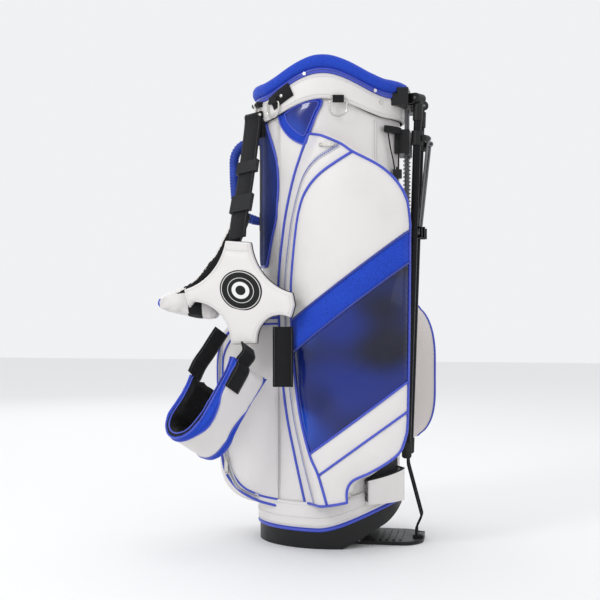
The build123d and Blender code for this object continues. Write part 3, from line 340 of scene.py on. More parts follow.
# ---------------------------------------------------------------- mesh making
def add_piece(name, mesh, materials, body="bag", stands_for=(), slot=None):
    """Put a mesh in the scene as a piece that rides on a body."""
    piece = bpy.data.objects.new(name, mesh)
    bpy.context.scene.collection.objects.link(piece)
    for material in materials:
        mesh.materials.append(material)
    for face in mesh.polygons:
        face.use_smooth = True
    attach(piece, body)
    if stands_for:
        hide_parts(*stands_for)
    return piece


def build(name, places, faces, materials, marks=None, corners=None, **facts):
    """Piece from places and faces, with a material index per face and cloth coordinates per corner."""
    mesh = bpy.data.meshes.new(name)
    mesh.from_pydata([tuple(place) for place in places], [], faces)
    if marks is not None:
        mesh.polygons.foreach_set("material_index", marks)
    if corners is not None:
        layer = mesh.uv_layers.new(name="cloth")
        layer.data.foreach_set("uv", [number for corner in corners for number in corner])
    mesh.update()
    return add_piece(name, mesh, materials, **facts)


def running_length(points, closed=False):
    """Distance travelled at each point of a path, in metres, and once round if it is closed."""
    distance = [0.0]
    for before, after in zip(points, points[1:] + points[:1] if closed else points[1:]):
        distance.append(distance[-1] + (after - before).length)
    return distance


def loft(rows, close_rows=False, close_columns=False, cap=False):
    """Places, faces and cloth corners of a grid given as rows of places."""
    row_count, column_count = len(rows), len(rows[0])
    middle = rows[row_count // 2]
    across = running_length(middle, close_columns)
    along = running_length([row[0] for row in rows], close_rows)
    places = [place for row in rows for place in row]
    faces, corners = [], []
    for i in range(row_count if close_rows else row_count - 1):
        for j in range(column_count if close_columns else column_count - 1):
            next_i, next_j = (i + 1) % row_count, (j + 1) % column_count
            faces.append(
                (
                    i * column_count + j,
                    i * column_count + next_j,
                    next_i * column_count + next_j,
                    next_i * column_count + j,
                )
            )
            corners += [
                (across[j], along[i]),
                (across[j + 1], along[i]),
                (across[j + 1], along[i + 1]),
                (across[j], along[i + 1]),
            ]
    if cap:
        for row_index in (0, row_count - 1):
            ring = [row_index * column_count + j for j in range(column_count)]
            faces.append(tuple(ring if row_index else reversed(ring)))
            corners += [(across[j], along[row_index]) for j in range(column_count)]
    return places, faces, corners


def merge(shapes):
    """Join several (places, faces, corners) into one."""
    places, faces, corners = [], [], []
    for some_places, some_faces, some_corners in shapes:
        start = len(places)
        places += some_places
        faces += [tuple(start + index for index in face) for face in some_faces]
        corners += some_corners
    return places, faces, corners


def columns(places):
    """One array per coordinate of a list of places."""
    return np.array([tuple(place) for place in places]).T


def between(distance, axes, at):
    """Value at a distance along a path, from the distance and the columns() of its points."""
    return Vector([np.interp(at, distance, axis) for axis in axes])


def smooth_path(points, step, closed=False):
    """Even points, about a step apart, on a smooth line through the given ones (metres)."""
    count = len(points)
    fine = []
    for i in range(count if closed else count - 1):
        if closed:
            p0, p1, p2, p3 = (points[(i + offset) % count] for offset in (-1, 0, 1, 2))
        else:
            p0, p1, p2, p3 = (points[min(max(i + offset, 0), count - 1)] for offset in (-1, 0, 1, 2))
        for share in np.linspace(0, 1, 12, endpoint=False):
            fine.append(
                0.5
                * (
                    2 * p1
                    + (p2 - p0) * share
                    + (2 * p0 - 5 * p1 + 4 * p2 - p3) * share**2
                    + (3 * p1 - p0 - 3 * p2 + p3) * share**3
                )
            )
    fine.append(points[0] if closed else points[-1])
    distance = running_length(fine)
    pieces = max(2, round(distance[-1] / step))
    axes = columns(fine)
    even = [between(distance, axes, at) for at in np.linspace(0, distance[-1], pieces + 1)]
    return even[:-1] if closed else even


def directions(path, closed=False):
    """Unit heading at each point of a path."""
    count = len(path)
    headings = []
    for i in range(count):
        before = path[i - 1] if closed or i else path[0]
        after = path[(i + 1) % count] if closed or i < count - 1 else path[-1]
        headings.append((after - before).normalized())
    return headings


def circle(count):
    """Cosine and sine of even turns round a circle."""
    return [(cos(a), sin(a)) for a in np.linspace(0, 2 * pi, count, endpoint=False)]


def tube(path, radius, sides=8, closed=False):
    """Round tube along a path; radius may be a function of the share of the way along."""
    headings = directions(path, closed)
    side = headings[0].orthogonal().normalized()
    rows = []
    for index, (place, heading) in enumerate(zip(path, headings)):
        side = (side - heading * side.dot(heading)).normalized()
        other = heading.cross(side)
        size = radius(index / (len(path) - 1)) if callable(radius) else radius
        rows.append([place + side * size * x + other * size * y for x, y in circle(sides)])
    return loft(rows, close_rows=closed, close_columns=True, cap=not closed)


RIBBON_HALF = [(-1, -0.55), (-0.985, -1), (0.985, -1), (1, -0.55)]
RIBBON_EDGE = RIBBON_HALF + [(-a, -b) for a, b in RIBBON_HALF]


def ribbon(path, sides, width, thickness):
    """Flat strap along a path, with the direction across it given at each point."""
    headings = directions(path)
    rows = []
    for place, heading, side in zip(path, headings, sides):
        side = (side - heading * side.dot(heading)).normalized()
        normal = heading.cross(side)
        rows.append([place + side * a * width / 2 + normal * b * thickness / 2 for a, b in RIBBON_EDGE])
    return loft(rows, close_columns=True, cap=True)


def stitches(path, normals, pitch, size=0.00045, share=0.62):
    """A row of short thread beads that lie on a surface along a path (metres)."""
    distance = running_length(path)
    axes, normal_axes = columns(path), columns(normals)
    shapes = []
    for start in np.arange(pitch / 2, distance[-1] - pitch, pitch):
        ends = [between(distance, axes, start + pitch * share * part) for part in (0, 0.5, 1)]
        normal = between(distance, normal_axes, start).normalized()
        bead = [
            ends[0],
            ends[0] + normal * size * 0.9,
            ends[1] + normal * size * 1.3,
            ends[2] + normal * size * 0.9,
            ends[2],
        ]
        shapes.append(tube(bead, size, sides=5))
    return merge(shapes)


def oval_y(x, outset):
    """Half depth of the oval that lies outset outside the body, at x (mm)."""
    return (BODY_Y + outset) * sqrt(max(0.0, 1 - (x / (BODY_X + outset)) ** 2))


def ring_x(angle, outset=0.0):
    """The x of a point on the oval at an angle (mm)."""
    return (BODY_X + outset) * cos(angle)


def ring_spot(angle, outset, z):
    """Place on the oval that lies outset outside the body, at an angle and a height (mm)."""
    return spot(ring_x(angle, outset), (BODY_Y + outset) * sin(angle), z)


ROUND = np.linspace(0, 2 * pi, 220, endpoint=False)


def wave(x, level, rise):
    """Height of the rim's or cuff's line at x: raised in the middle of the long sides."""
    if abs(x) >= WAVE_X:
        return level
    return level + rise * (0.5 + 0.5 * cos(pi * x / WAVE_X)) ** WAVE_POWER


def waved(steps):
    """Ring profile that follows the wave, from steps of (outset, level, rise)."""

    def height(level, rise):
        return lambda x: wave(x, level, rise)

    return [(outset, height(level, rise)) for outset, level, rise in steps]


def sweep_line(x, low, high, start, end, slope):
    """Height of a base line at x: level at the spine side and swept up towards the legs."""
    t = min(max((x - start) / (end - start), 0.0), 1.0)
    bend = (1.72 + slope) * t**2 + (0.56 - 3 * slope) * t**3 + (2 * slope - 1.28) * t**4
    return low + (high - low) * bend


def trim_line(x):
    """Height of the blue trim between the base moulding and the base band."""
    return sweep_line(x, 33, 83, -10, 140, 1.05)


def band_line(x):
    """Height of the base band's top."""
    return sweep_line(x, 83, 124, 0, 140, 1.195)


def ring_path(outset, height):
    """Line round the body whose height is a function of x."""
    return [ring_spot(a, outset, height(ring_x(a, outset))) for a in ROUND]


def ring_loft(profile):
    """Skin round the body; the profile is a list of (outset, height as a function of x)."""
    return loft([ring_path(outset, height) for outset, height in profile], close_columns=True)


def ring_normals(angles=ROUND):
    """Outward directions of the oval."""
    return [Vector((cos(a) / BODY_X, sin(a) / BODY_Y, 0)).normalized() for a in angles]


def finish_shape(name, shape, material, **facts):
    """Piece of one material from a shape (places, faces and corners) or a list of shapes."""
    places, faces, corners = merge(shape) if isinstance(shape, list) else shape
    return build(name, places, faces, [material], corners=corners, **facts)


# ---------------------------------------------------------------- umbrella cord
CORD_R = 1.25
CORD_ROUTES = {
    "umbrella_cord_near": (
        [
            (114, -65, 747), (117, -61, 722), (122.5, -54.5, 698),
            (126, -51.5, 673), (126.5, -53.5, 646), (124, -58, 622),
        ],
        0.1278,
    ),
    "umbrella_cord_far": (
        [
            (131.5, -44, 747), (131.5, -43.3, 722), (131, -43.2, 698),
            (130.5, -44.3, 673), (129, -48, 646), (127, -54.5, 622),
        ],
        0.1262,
    ),
}
for cord_node, (route, cord_length) in CORD_ROUTES.items():
    cord_data = bpy.data.curves.new(cord_node + "_line", "CURVE")
    cord_data.dimensions = "3D"
    cord_spline = cord_data.splines.new("NURBS")
    cord_spline.points.add(len(route) - 1)
    for control, place in zip(cord_spline.points, route):
        control.co = (*spot(*place), 1)
    cord_spline.order_u = 3
    cord_spline.use_endpoint_u = True
    cord_data.bevel_depth = CORD_R * MM
    cord_data.bevel_resolution = 3
    cord_data.materials.append(WEBBING)
    cord_piece = bpy.data.objects.new(cord_node + "_line", cord_data)
    bpy.context.scene.collection.objects.link(cord_piece)
    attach(cord_piece, "bag")
    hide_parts(cord_node)


# ---------------------------------------------------------------- body wall and base
def sag(place, depth):
    """Small slow hollows and swellings of a soft wall."""
    return depth * noise.noise(place * 9) + 0.4 * depth * noise.noise(place * 28)


WALL_LOW = 30.0
WALL_STEP = 8.0
WALL_ROWS = 98
WALL_SKIN = -0.8          # outset of the leatherette, and of the lining inside it (mm)
WALL_LINING = -3.0


def wall_shape():
    """Outer leatherette, rolled over its top edge, and the lining inside."""
    heights = [WALL_LOW + WALL_STEP * i for i in range(WALL_ROWS)]
    outer, inner = [], []
    for level in heights:
        outer.append([])
        inner.append([])
        for a in ROUND:
            z = max(level, trim_line(ring_x(a)) - 2)
            outer[-1].append(ring_spot(a, WALL_SKIN + sag(ring_spot(a, 0, z), 1.0), z))
            inner[-1].append(ring_spot(a, WALL_LINING, z))
    return loft(outer + inner[::-1], close_columns=True)


wall_places, wall_faces, wall_corners = wall_shape()
inner_start = len(wall_faces) // 2
wall_marks = [0 if index < inner_start else 1 for index in range(len(wall_faces))]
build(
    "body_wall",
    wall_places,
    wall_faces,
    [WHITE, LINING],
    wall_marks,
    wall_corners,
    stands_for=("wall_spine_side", "wall_near_side", "wall_far_side", "wall_leg_side"),
    slot="leatherette",
)


def seam_line(x, side, low, high, outset, step=4.0):
    """Upright seam on the wall at x."""
    y = side * oval_y(x, outset)
    return [spot(x, y, z) for z in np.arange(low, high, step)]


SEAM_XS = (-84, 92)
SEAM_ENDS = (60, 770)
seam_shapes, seam_threads = [], []
for seam_x in SEAM_XS:
    for side in (-1, 1):
        line = seam_line(seam_x, side, *SEAM_ENDS, 0.3)
        normal = Vector((seam_x / BODY_X**2, side * oval_y(seam_x, 0) / BODY_Y**2, 0)).normalized()
        seam_shapes.append(tube(line, 0.0011, sides=6))
        for shift in (-3.2, 3.2):
            beside = seam_line(seam_x + shift, side, *SEAM_ENDS, 0.2)
            seam_threads.append(stitches(beside, [normal] * len(beside), STITCH))
finish_shape("wall_seams", seam_shapes, WHITE, slot="leatherette")
finish_shape("wall_stitches", seam_threads, THREAD, slot="leatherette")

band_profile = [
    (1.0, lambda x: trim_line(x) + 3),
    (5.6, lambda x: trim_line(x) + 4.5),
    (6.2, lambda x: trim_line(x) + 10),
    (6.6, lambda x: 0.5 * (trim_line(x) + band_line(x))),
    (6.4, lambda x: band_line(x) - 10),
    (5.8, lambda x: band_line(x) - 2.5),
    (4.2, lambda x: band_line(x)),
    (0.2, lambda x: band_line(x) - 0.5),
]
finish_shape("base_band_skin", ring_loft(band_profile), WHITE, stands_for=("base_band",), slot="leatherette")
band_threads = []
for outset, height in (
    (6.3, lambda x: band_line(x) - 5),
    (6.3, lambda x: trim_line(x) + 8.5),
    (6.7, lambda x: 0.55 * trim_line(x) + 0.45 * band_line(x)),
):
    band_threads.append(stitches(ring_path(outset, height), ring_normals(), STITCH))
finish_shape("band_stitches", band_threads, THREAD, slot="leatherette")
trim_pipes = [
    tube(ring_path(3.9, trim_line), 0.0031, sides=10, closed=True),
    tube(ring_path(4.4, lambda x: trim_line(x) + 4.2), 0.0013, sides=6, closed=True),
]
finish_shape("base_trim", trim_pipes, PIPING, stands_for=("base_piping",), slot="piping")


# ---------------------------------------------------------------- rim and cuff
RIM_MIDDLE = 6.0          # outset of the rim cushion's middle line
RIM_HALF = 11.6           # half its thickness
RIM_SQUARE = 2.6          # how square its section is: 2 would be round
RIM_Z = 830.0
rim_rows = []
for out, rise in circle(16):
    reach = RIM_HALF / (abs(out) ** RIM_SQUARE + abs(rise) ** RIM_SQUARE) ** (1 / RIM_SQUARE)
    row = []
    for a in ROUND:
        ease = 1 + 0.035 * noise.noise(Vector((cos(a), sin(a), 0)) * 6)
        height = wave(ring_x(a, RIM_MIDDLE + out * reach), RIM_Z, RIM_RISE)
        row.append(ring_spot(a, RIM_MIDDLE + out * reach * ease, height + rise * reach * ease))
    rim_rows.append(row)
rim_shape = loft(rim_rows, close_rows=True, close_columns=True)
finish_shape("rim_cushion", rim_shape, BLUE_MESH, stands_for=("rim_pad",), slot="mesh")
BINDING = [
    (-2.0, 818.5, RIM_RISE), (10.2, 818.5, RIM_RISE), (11.2, 816.5, RIM_RISE), (11.4, 813.5, RIM_RISE),
    (11.0, 810.5, RIM_RISE), (9.6, 809.0, RIM_RISE), (-2.0, 809.0, RIM_RISE),
]
finish_shape("rim_binding", ring_loft(waved(BINDING)), PIPING, stands_for=("rim_piping",), slot="piping")
binding_line = ring_path(11.5, lambda x: wave(x, 813.5, RIM_RISE))
binding_threads = stitches(binding_line, ring_normals(), 0.0036)
finish_shape("binding_stitches", binding_threads, DARK_THREAD, slot="piping")
CUFF = [
    (0.0, 772, 31), (6.5, 772, 31), (8.8, 774, 31), (9.2, 780, 32),
    (9.8, 790, 35), (9.3, 802, 38), (8.6, 808, 39), (4.0, 809, 39),
]
finish_shape("cuff_skin", ring_loft(waved(CUFF)), WHITE, stands_for=("cuff_band",), slot="leatherette")
cuff_threads = [
    stitches(ring_path(9.5, lambda x: wave(x, 778, 31.5)), ring_normals(), STITCH),
    stitches(ring_path(9.4, lambda x: wave(x, 803.5, 38)), ring_normals(), STITCH),
]
finish_shape("cuff_stitches", cuff_threads, THREAD, slot="leatherette")


# ---------------------------------------------------------------- sewn panels
def flat(points):
    """Plan points (mm) as a smooth path of two-part vectors, 4 mm apart."""
    return smooth_path([Vector(point) for point in points], 4.0)


def nearest(places, lines):
    """Distance of each place from the nearest of some lines, given as arrays of points."""
    best = np.full(len(places), 1e9)
    for line in lines:
        for start in range(0, len(line), 60):
            part = line[start : start + 60]
            gap = places[:, None, :] - part[None, :, :]
            best = np.minimum(best, np.sqrt((gap**2).sum(axis=2)).min(axis=1))
    return best


def panel(outline, seams, step=6.0):
    """Triangles that fill an outline and follow its inner seams (all in mm, in a flat plan)."""
    places, edges = [], []
    for line, closed in [(outline, True)] + [(seam, False) for seam in seams]:
        start = len(places)
        places += [Vector(point) for point in line]
        edges += [(start + i, start + i + 1) for i in range(len(line) - 1)]
        if closed:
            edges.append((start + len(line) - 1, start))
    low = [min(point[i] for point in outline) for i in (0, 1)]
    high = [max(point[i] for point in outline) for i in (0, 1)]
    lines = [np.array([tuple(point) for point in line]) for line in [outline] + list(seams)]
    field = []
    for row, v in enumerate(np.arange(low[1], high[1], step * 0.87)):
        for u in np.arange(low[0] + (row % 2) * step / 2, high[0], step):
            field.append((u, v))
    gaps = nearest(np.array(field), lines)
    places += [Vector(point) for point, gap in zip(field, gaps) if gap > step * 0.55]
    solved = geometry.delaunay_2d_cdt(places, edges, [list(range(len(outline)))], 1, 0.01)
    return [tuple(point) for point in solved[0]], [tuple(face) for face in solved[2]], lines


def crown(gap, height, width):
    """Swelling of padded cloth at a distance from its nearest seam."""
    return height * (1 - np.exp(-gap / width))


def plain(u, v):
    """Every face takes the piece's only material."""
    return 0


def sewn_panel(
    name, outline, seams, surface, materials, mark=plain, height=4.0, width=16.0, wrinkle=0.8, **facts
):
    """Piece made of a filled outline laid on a surface, swelling between its seams.

    surface(u, v, lift) gives a place in metres, and mark(u, v) the material of a face.
    """
    plan, faces, lines = panel(outline, seams)
    gaps = nearest(np.array(plan), lines)
    places = []
    for (u, v), gap in zip(plan, gaps):
        lift = crown(gap, height, width)
        lift += wrinkle * (1 - exp(-gap / 6)) * noise.noise(Vector((u / 38, v / 60, 1.7)))
        places.append(surface(u, v, lift))
    marks = []
    for face in faces:
        marks.append(mark(sum(plan[i][0] for i in face) / 3, sum(plan[i][1] for i in face) / 3))
    corners = [(plan[i][0] * MM, plan[i][1] * MM) for face in faces for i in face]
    return build(name, places, faces, materials, marks, corners, **facts)


def table(points, value):
    """Straight interpolation of (u, v) points: u at a given v."""
    ordered = sorted((point[1], point[0]) for point in points)
    return float(np.interp(value, [v for v, _ in ordered], [u for _, u in ordered]))


# ---------------------------------------------------------------- long near pocket
BODY_SEAM = flat(
    [
        (-30, 80), (-50, 165), (-66, 240), (-76, 320), (-81, 400), (-82.5, 477), (-73.5, 562), (-64.5, 614),
        (-51.5, 666), (-37, 708), (-24, 742),
    ]
)
FRONT_SEAM = flat(
    [
        (17, 88), (1, 139), (-15, 173), (-33, 235), (-44, 303), (-51, 385), (-52.5, 467), (-43.6, 562),
        (-34, 610), (-19, 640), (8, 667), (61.5, 700),
    ]
)
ZIP_SEAM = flat(
    [
        (-9, 84), (-33, 167), (-52, 250), (-63, 350), (-67, 470), (-57, 564), (-47, 612), (-30, 660),
        (-3, 689), (21, 703), (38, 712),
    ]
)
TOP_EDGE = flat(
    [
        (-24, 742), (-6, 736), (39, 716), (63, 700), (109, 675), (137, 649), (153, 619), (158, 580),
        (158, 563),
    ]
)
RIGHT_EDGE = flat([(158, 563), (157, 400), (155, 250), (153.6, 214)])
LOW_EDGE = flat([(153.6, 214), (144, 184), (124, 165), (92, 146), (63, 132), (53, 115), (53, 94)])
FOOT_EDGE = flat([(53, 94), (17, 86), (-30, 80)])
CORNER_X = 146.0          # where the face starts to turn in
FACE_R = 193.8            # the face's arc in plan, and its centre
FACE_X = 62.28
FACE_Y = 27.8
POCKET_BLEND = 40.0       # how far from the body seam the face has left the wall (mm)


def front_y(x):
    """Front of the long pocket (mm): a shallow arc that turns in at the leg side."""
    across = (min(max(x, -70), CORNER_X) - FACE_X) / FACE_R
    face = FACE_Y - FACE_R * sqrt(1 - across**2)
    if x > CORNER_X:
        face += 0.22 * (x - CORNER_X) ** 1.7
    return face


def pocket_y(x, z):
    """The pocket's face, brought back to the wall along its seam on the body."""
    seam = table(BODY_SEAM, z)
    wall = -oval_y(x, 0.5) if abs(x) < BODY_X else 0.0
    share = min(max((x - seam) / POCKET_BLEND, 0.0), 1.0)
    share = share * share * (3 - 2 * share)
    return wall + (front_y(x) - wall) * share


def pocket_place(x, z, lift):
    """Place on the pocket's face, lifted outwards (mm)."""
    lean = (x - FACE_X) / FACE_R
    return spot(x + lean * lift, pocket_y(x, z) - lift * sqrt(max(0.0, 1 - lean * lean)), z)


def slope_line(x0, z0, x1, z1):
    """Height of a straight line as a function of x."""
    return lambda x: z0 + (x - x0) * (z1 - z0) / (x1 - x0)


MESH_TOP = slope_line(-38, 416, 157, 564)
MESH_LOW = slope_line(-47, 353, 157, 509)
PATENT_LOW = slope_line(-15, 173, 152, 300)
LOWER_LINE = slope_line(1, 139, 154, 250)


def crossing(line, end_x):
    """A straight seam from the front seam to the leg-side edge."""
    start = min(FRONT_SEAM, key=lambda point: abs(point[1] - line(point[0])))
    middle_x = (start[0] + end_x) / 2
    return flat([start, (middle_x, line(middle_x)), (end_x, line(end_x))])


MESH_TOP_SEAM = crossing(MESH_TOP, 157.8)
MESH_LOW_SEAM = crossing(MESH_LOW, 157.4)
PATENT_SEAM = crossing(PATENT_LOW, 155.6)
LOWER_SEAM = crossing(LOWER_LINE, 154.6)


def pocket_mark(x, z):
    """Which of white, blue mesh and patent covers the pocket's face at a point."""
    if x < table(FRONT_SEAM, z) or z > 690:
        return 0
    if MESH_LOW(x) < z < MESH_TOP(x):
        return 1
    if PATENT_LOW(x) < z < MESH_LOW(x):
        return 2
    return 0


OUTER_EDGE = TOP_EDGE + RIGHT_EDGE[1:] + LOW_EDGE[1:] + FOOT_EDGE[1:]
pocket_outline = BODY_SEAM + OUTER_EDGE[1:-1]
pocket_seams = [FRONT_SEAM, ZIP_SEAM, MESH_TOP_SEAM, MESH_LOW_SEAM, PATENT_SEAM, LOWER_SEAM]
sewn_panel(
    "near_pocket_face",
    pocket_outline,
    pocket_seams,
    pocket_place,
    [WHITE, BLUE_MESH, PATENT],
    pocket_mark,
    height=3.2,
    width=14.0,
    stands_for=("near_pocket",),
    slot="leatherette",
)


def piping(place, line, lift, radius, closed=False):
    """Round cord along a plan line, laid on a surface and lifted (mm)."""
    return tube([place(point[0], point[1], lift) for point in line], radius, closed=closed)


def pocket_back(x, z):
    """Where the pocket's gusset meets the body."""
    back_x = x if x < 90 else 90 + (x - 90) * 0.42
    return spot(back_x, -oval_y(back_x, 0.3), z)


gusset_shapes = []
for edge in (TOP_EDGE, RIGHT_EDGE, LOW_EDGE):
    rows = []
    for index, point in enumerate(edge):
        front = pocket_place(point[0], point[1], 0)
        back = pocket_back(point[0], point[1])
        heading = (edge[min(index + 1, len(edge) - 1)] - edge[max(index - 1, 0)]).normalized()
        out = Vector((heading[1], 0, -heading[0]))
        if edge is not TOP_EDGE or point[0] > 0:
            out = out if out.dot(Vector((point[0] - 50, 0, point[1] - 400))) > 0 else -out
        row = []
        for share in np.linspace(0, 1, 7):
            swell = 0.007 * sin(pi * share) ** 0.8
            row.append(front.lerp(back, share) + out * swell)
        rows.append(row)
    gusset_shapes.append(loft(rows))
finish_shape("near_pocket_gusset", gusset_shapes, WHITE, slot="leatherette")
pocket_pipes = [piping(pocket_place, line, 1.2, PIPE) for line in (BODY_SEAM, FRONT_SEAM)]
pocket_pipes.append(piping(pocket_place, OUTER_EDGE, 1.0, PIPE))
pocket_pipes += [piping(pocket_place, line, 1.0, THIN_PIPE) for line in (PATENT_SEAM, LOWER_SEAM)]
finish_shape("near_pocket_piping", pocket_pipes, PIPING, slot="piping")
mesh_pipes = [piping(pocket_place, line, 1.0, THIN_PIPE) for line in (MESH_TOP_SEAM, MESH_LOW_SEAM)]
finish_shape("mesh_band_piping", mesh_pipes, DARK_PIPING, slot="piping")


# ---------------------------------------------------------------- zippers
TAPE_WIDTH = 0.0085
TAPE_THICK = 0.0008
TOOTH_PITCH = 0.0021
TOOTH_HALF = 0.0013
TOOTH_R = 0.00062


def zipper(path, normals):
    """Tape, and two rows of teeth down its middle."""
    headings = directions(path)
    sides = [heading.cross(normal) for heading, normal in zip(headings, normals)]
    raised = [place + normal * TAPE_THICK for place, normal in zip(path, normals)]
    strip = ribbon(raised, sides, TAPE_WIDTH, TAPE_THICK)
    teeth = []
    distance = running_length(path)
    for index, start in enumerate(np.arange(0.001, distance[-1] - 0.001, TOOTH_PITCH)):
        at = int(np.searchsorted(distance, start))
        at = min(max(at, 1), len(path) - 1)
        share = (start - distance[at - 1]) / max(distance[at] - distance[at - 1], 1e-9)
        place = path[at - 1].lerp(path[at], share) + normals[at] * 2 * TAPE_THICK
        lean = sides[at] * (0.0007 if index % 2 else -0.0007)
        ends = [place + lean - sides[at] * TOOTH_HALF, place + lean + sides[at] * TOOTH_HALF]
        teeth.append(tube(ends, TOOTH_R, sides=5))
    return strip, merge(teeth)


def zip_slider(pin, out, along):
    """Rounded slider under a pull's pin, with the bridge that holds the pin."""
    across = out.cross(along)
    shapes, rows = [], []
    for share, half in ((-5, 2.4), (-4.2, 3.3), (-1, 3.5), (3, 3.0), (4.6, 2.2)):
        centre = pin - out * 0.0042 + along * share * MM
        ring = [(-half, -0.9), (-half * 0.8, 1.2), (half * 0.8, 1.2), (half, -0.9)]
        rows.append([centre + across * a * MM + out * b * MM for a, b in ring])
    shapes.append(loft(rows, close_columns=True, cap=True))
    for side in (-1, 1):
        foot = pin + across * side * 0.0027
        ends = [foot + along * end * 0.0018 - out * 0.004 for end in (-1, 1)]
        bridge = [ends[0], foot + out * 0.0002, ends[1]]
        shapes.append(tube(smooth_path(bridge, 0.001), 0.0007, sides=6))
    shapes.append(tube([pin - across * 0.003, pin + across * 0.003], 0.0009, sides=8))
    return merge(shapes)


zip_line = [pocket_place(point[0], point[1], 0.4) for point in ZIP_SEAM]
zip_normals = []
for point in ZIP_SEAM:
    here = pocket_place(point[0], point[1], 0)
    beside = pocket_place(point[0] + 3, point[1], 0) - here
    above = pocket_place(point[0], point[1] + 3, 0) - here
    zip_normals.append(beside.cross(above).normalized())
near_tape, near_teeth = zipper(zip_line, zip_normals)
BALL_ZIP = [(-194, -71.5, 380), (-196, -71, 300), (-192, -73, 210), (-181, -76.3, 150)]
BALL_ZIP += [(-160, -82.5, 104), (-120, -88.3, 86)]
ball_line = smooth_path([spot(*place) for place in BALL_ZIP], 0.004)
ball_out = Vector((-16, -55, 0)).normalized()
ball_line = [place + ball_out * 0.0006 for place in ball_line]
ball_tape, ball_teeth = zipper(ball_line, [ball_out] * len(ball_line))
FAR_R = 234.7             # the far pocket's arc in plan, and its centre
FAR_X = 53.0
FAR_Y = -76.6
FAR_ZIP_Z = 395.0


def far_arc(x):
    """The far pocket's arc in plan (mm)."""
    return FAR_Y + sqrt(FAR_R**2 - (x - FAR_X) ** 2)


far_zip = np.arange(-55, 160, 4.0)
far_line = [spot(x, far_arc(x) + 0.9, FAR_ZIP_Z) for x in far_zip]
far_normals = [Vector((x - FAR_X, FAR_R, 0)).normalized() for x in far_zip]
far_tape, far_teeth = zipper(far_line, far_normals)
# Each pull's pin, the direction out of the pocket there, and the one along the zipper.
PULLS = (
    (spot(6.18, -164.44, 714), Vector((-0.28, -0.96, 0)), Vector((0.96, -0.28, 0))),
    (spot(-181.816, -82.6013, 150), ball_out, Vector((0, 0, -1))),
    (spot(60, 164.5, FAR_ZIP_Z), Vector((0, 1, 0)), Vector((1, 0, 0))),
)
tapes = [near_tape, ball_tape, far_tape]
finish_shape("zipper_tapes", tapes, ZIP_TAPE, stands_for=("pocket_zippers",), slot="zipper")
finish_shape("near_zipper_teeth", near_teeth, PIPING, slot="zipper")
finish_shape("zipper_teeth", [ball_teeth, far_teeth], STEEL, slot="metal")
finish_shape("zipper_sliders", [zip_slider(*pull) for pull in PULLS], NICKEL, slot="metal")


# ---------------------------------------------------------------- glossy drop under the cuff
DROP = flat(
    [
        (-84, 779), (-76, 757), (-57, 735), (-31, 723), (-24, 738), (-12, 770), (0, 800), (-30, 800),
        (-60, 790), (-84, 779),
    ]
)[:-1]
DROP_CORE = flat(
    [
        (-70, 780), (-64, 764), (-48, 747), (-33, 738), (-26, 750), (-14, 778), (-6, 797), (-30, 797),
        (-56, 788), (-70, 780),
    ]
)[:-1]


def wall_place(x, z, lift):
    """Place on the near side of the body wall, lifted (mm)."""
    return spot(x, -oval_y(x, 0.8 + lift), z)


sewn_panel("drop_border", DROP, [], wall_place, [BLUE_MESH], height=1.6, width=6.0, slot="mesh")
sewn_panel(
    "drop_gloss",
    DROP_CORE,
    [],
    lambda x, z, lift: wall_place(x, z, lift + 1.6),
    [PATENT_BLUE],
    height=2.2,
    width=9.0,
    slot="mesh",
)
drop_pipes = [piping(wall_place, DROP, 0.9, 0.0018, closed=True)]
drop_pipes.append(piping(wall_place, DROP_CORE, 2.0, 0.0012, closed=True))
finish_shape("drop_piping", drop_pipes, PIPING, slot="piping")


# ---------------------------------------------------------------- spine pad and handle
SPINE_EDGE = flat(
    [
        (-112, 505), (-100, 556), (-90.5, 590), (-87, 625), (-85.5, 658), (-88.5, 694), (-98, 726),
        (-110, 757), (-114, 770),
    ]
)
SPINE_LOW = 505.0
SPINE_HIGH = 770.0
SPINE_COLUMNS = 32
SPINE_SEAM = 0.42         # turn of the pad's two upright seams from its middle (radians)
SPINE_R = 120.0           # about the wall's radius at the spine
SPINE_HALF_X = 134.0      # half width of the oval that the pad's two edges lie on
spine_rows = []
spine_edges = {-1: [], 1: []}
for edge_x, z in SPINE_EDGE:
    half_turn = pi - np.arccos(edge_x / SPINE_HALF_X)
    end_gap = min(z - SPINE_LOW, SPINE_HIGH - z)
    row = []
    for turn in np.linspace(-half_turn, half_turn, SPINE_COLUMNS + 1):
        edge_gap = (half_turn - abs(turn)) * SPINE_R
        seam_gap = abs(abs(turn) - SPINE_SEAM) * SPINE_R
        outset = 1.0 + crown(min(edge_gap, seam_gap + 1.5, end_gap + 1), 3.6, 7)
        row.append(ring_spot(pi + turn, outset, z))
    spine_rows.append(row)
    for side, turn in ((-1, half_turn), (1, -half_turn)):
        spine_edges[side].append(ring_spot(pi + turn, 1.6, z))
places, faces, corners = loft(spine_rows)
middle = SPINE_COLUMNS / 2 - 0.5
spine_marks = [1 if abs(index % SPINE_COLUMNS - middle) < 7.5 else 0 for index in range(len(faces))]
build(
    "spine_cushion",
    places,
    faces,
    [NAVY_MESH, BLACK_MESH],
    spine_marks,
    corners,
    stands_for=("spine_pad",),
    slot="mesh",
)
spine_pipes = [tube(line, THIN_PIPE) for line in spine_edges.values()]
for z in (SPINE_LOW + 1, SPINE_HIGH - 1):
    spine_pipes.append(tube([ring_spot(pi + turn, 2.2, z) for turn in np.linspace(-0.55, 0.55, 24)], 0.0020))
finish_shape("spine_piping", spine_pipes, PIPING, slot="piping")

HANDLE = [(-131, 745), (-150, 744), (-172, 737), (-185, 718), (-186.5, 690)]
HANDLE += [(-184.5, 650), (-181, 625), (-168, 606), (-150, 597), (-131, 592)]
RIB_PITCH = 0.0055
handle_path = smooth_path([spot(x, 0, z) for x, z in HANDLE], 0.0011)
handle_length = running_length(handle_path)[-1]


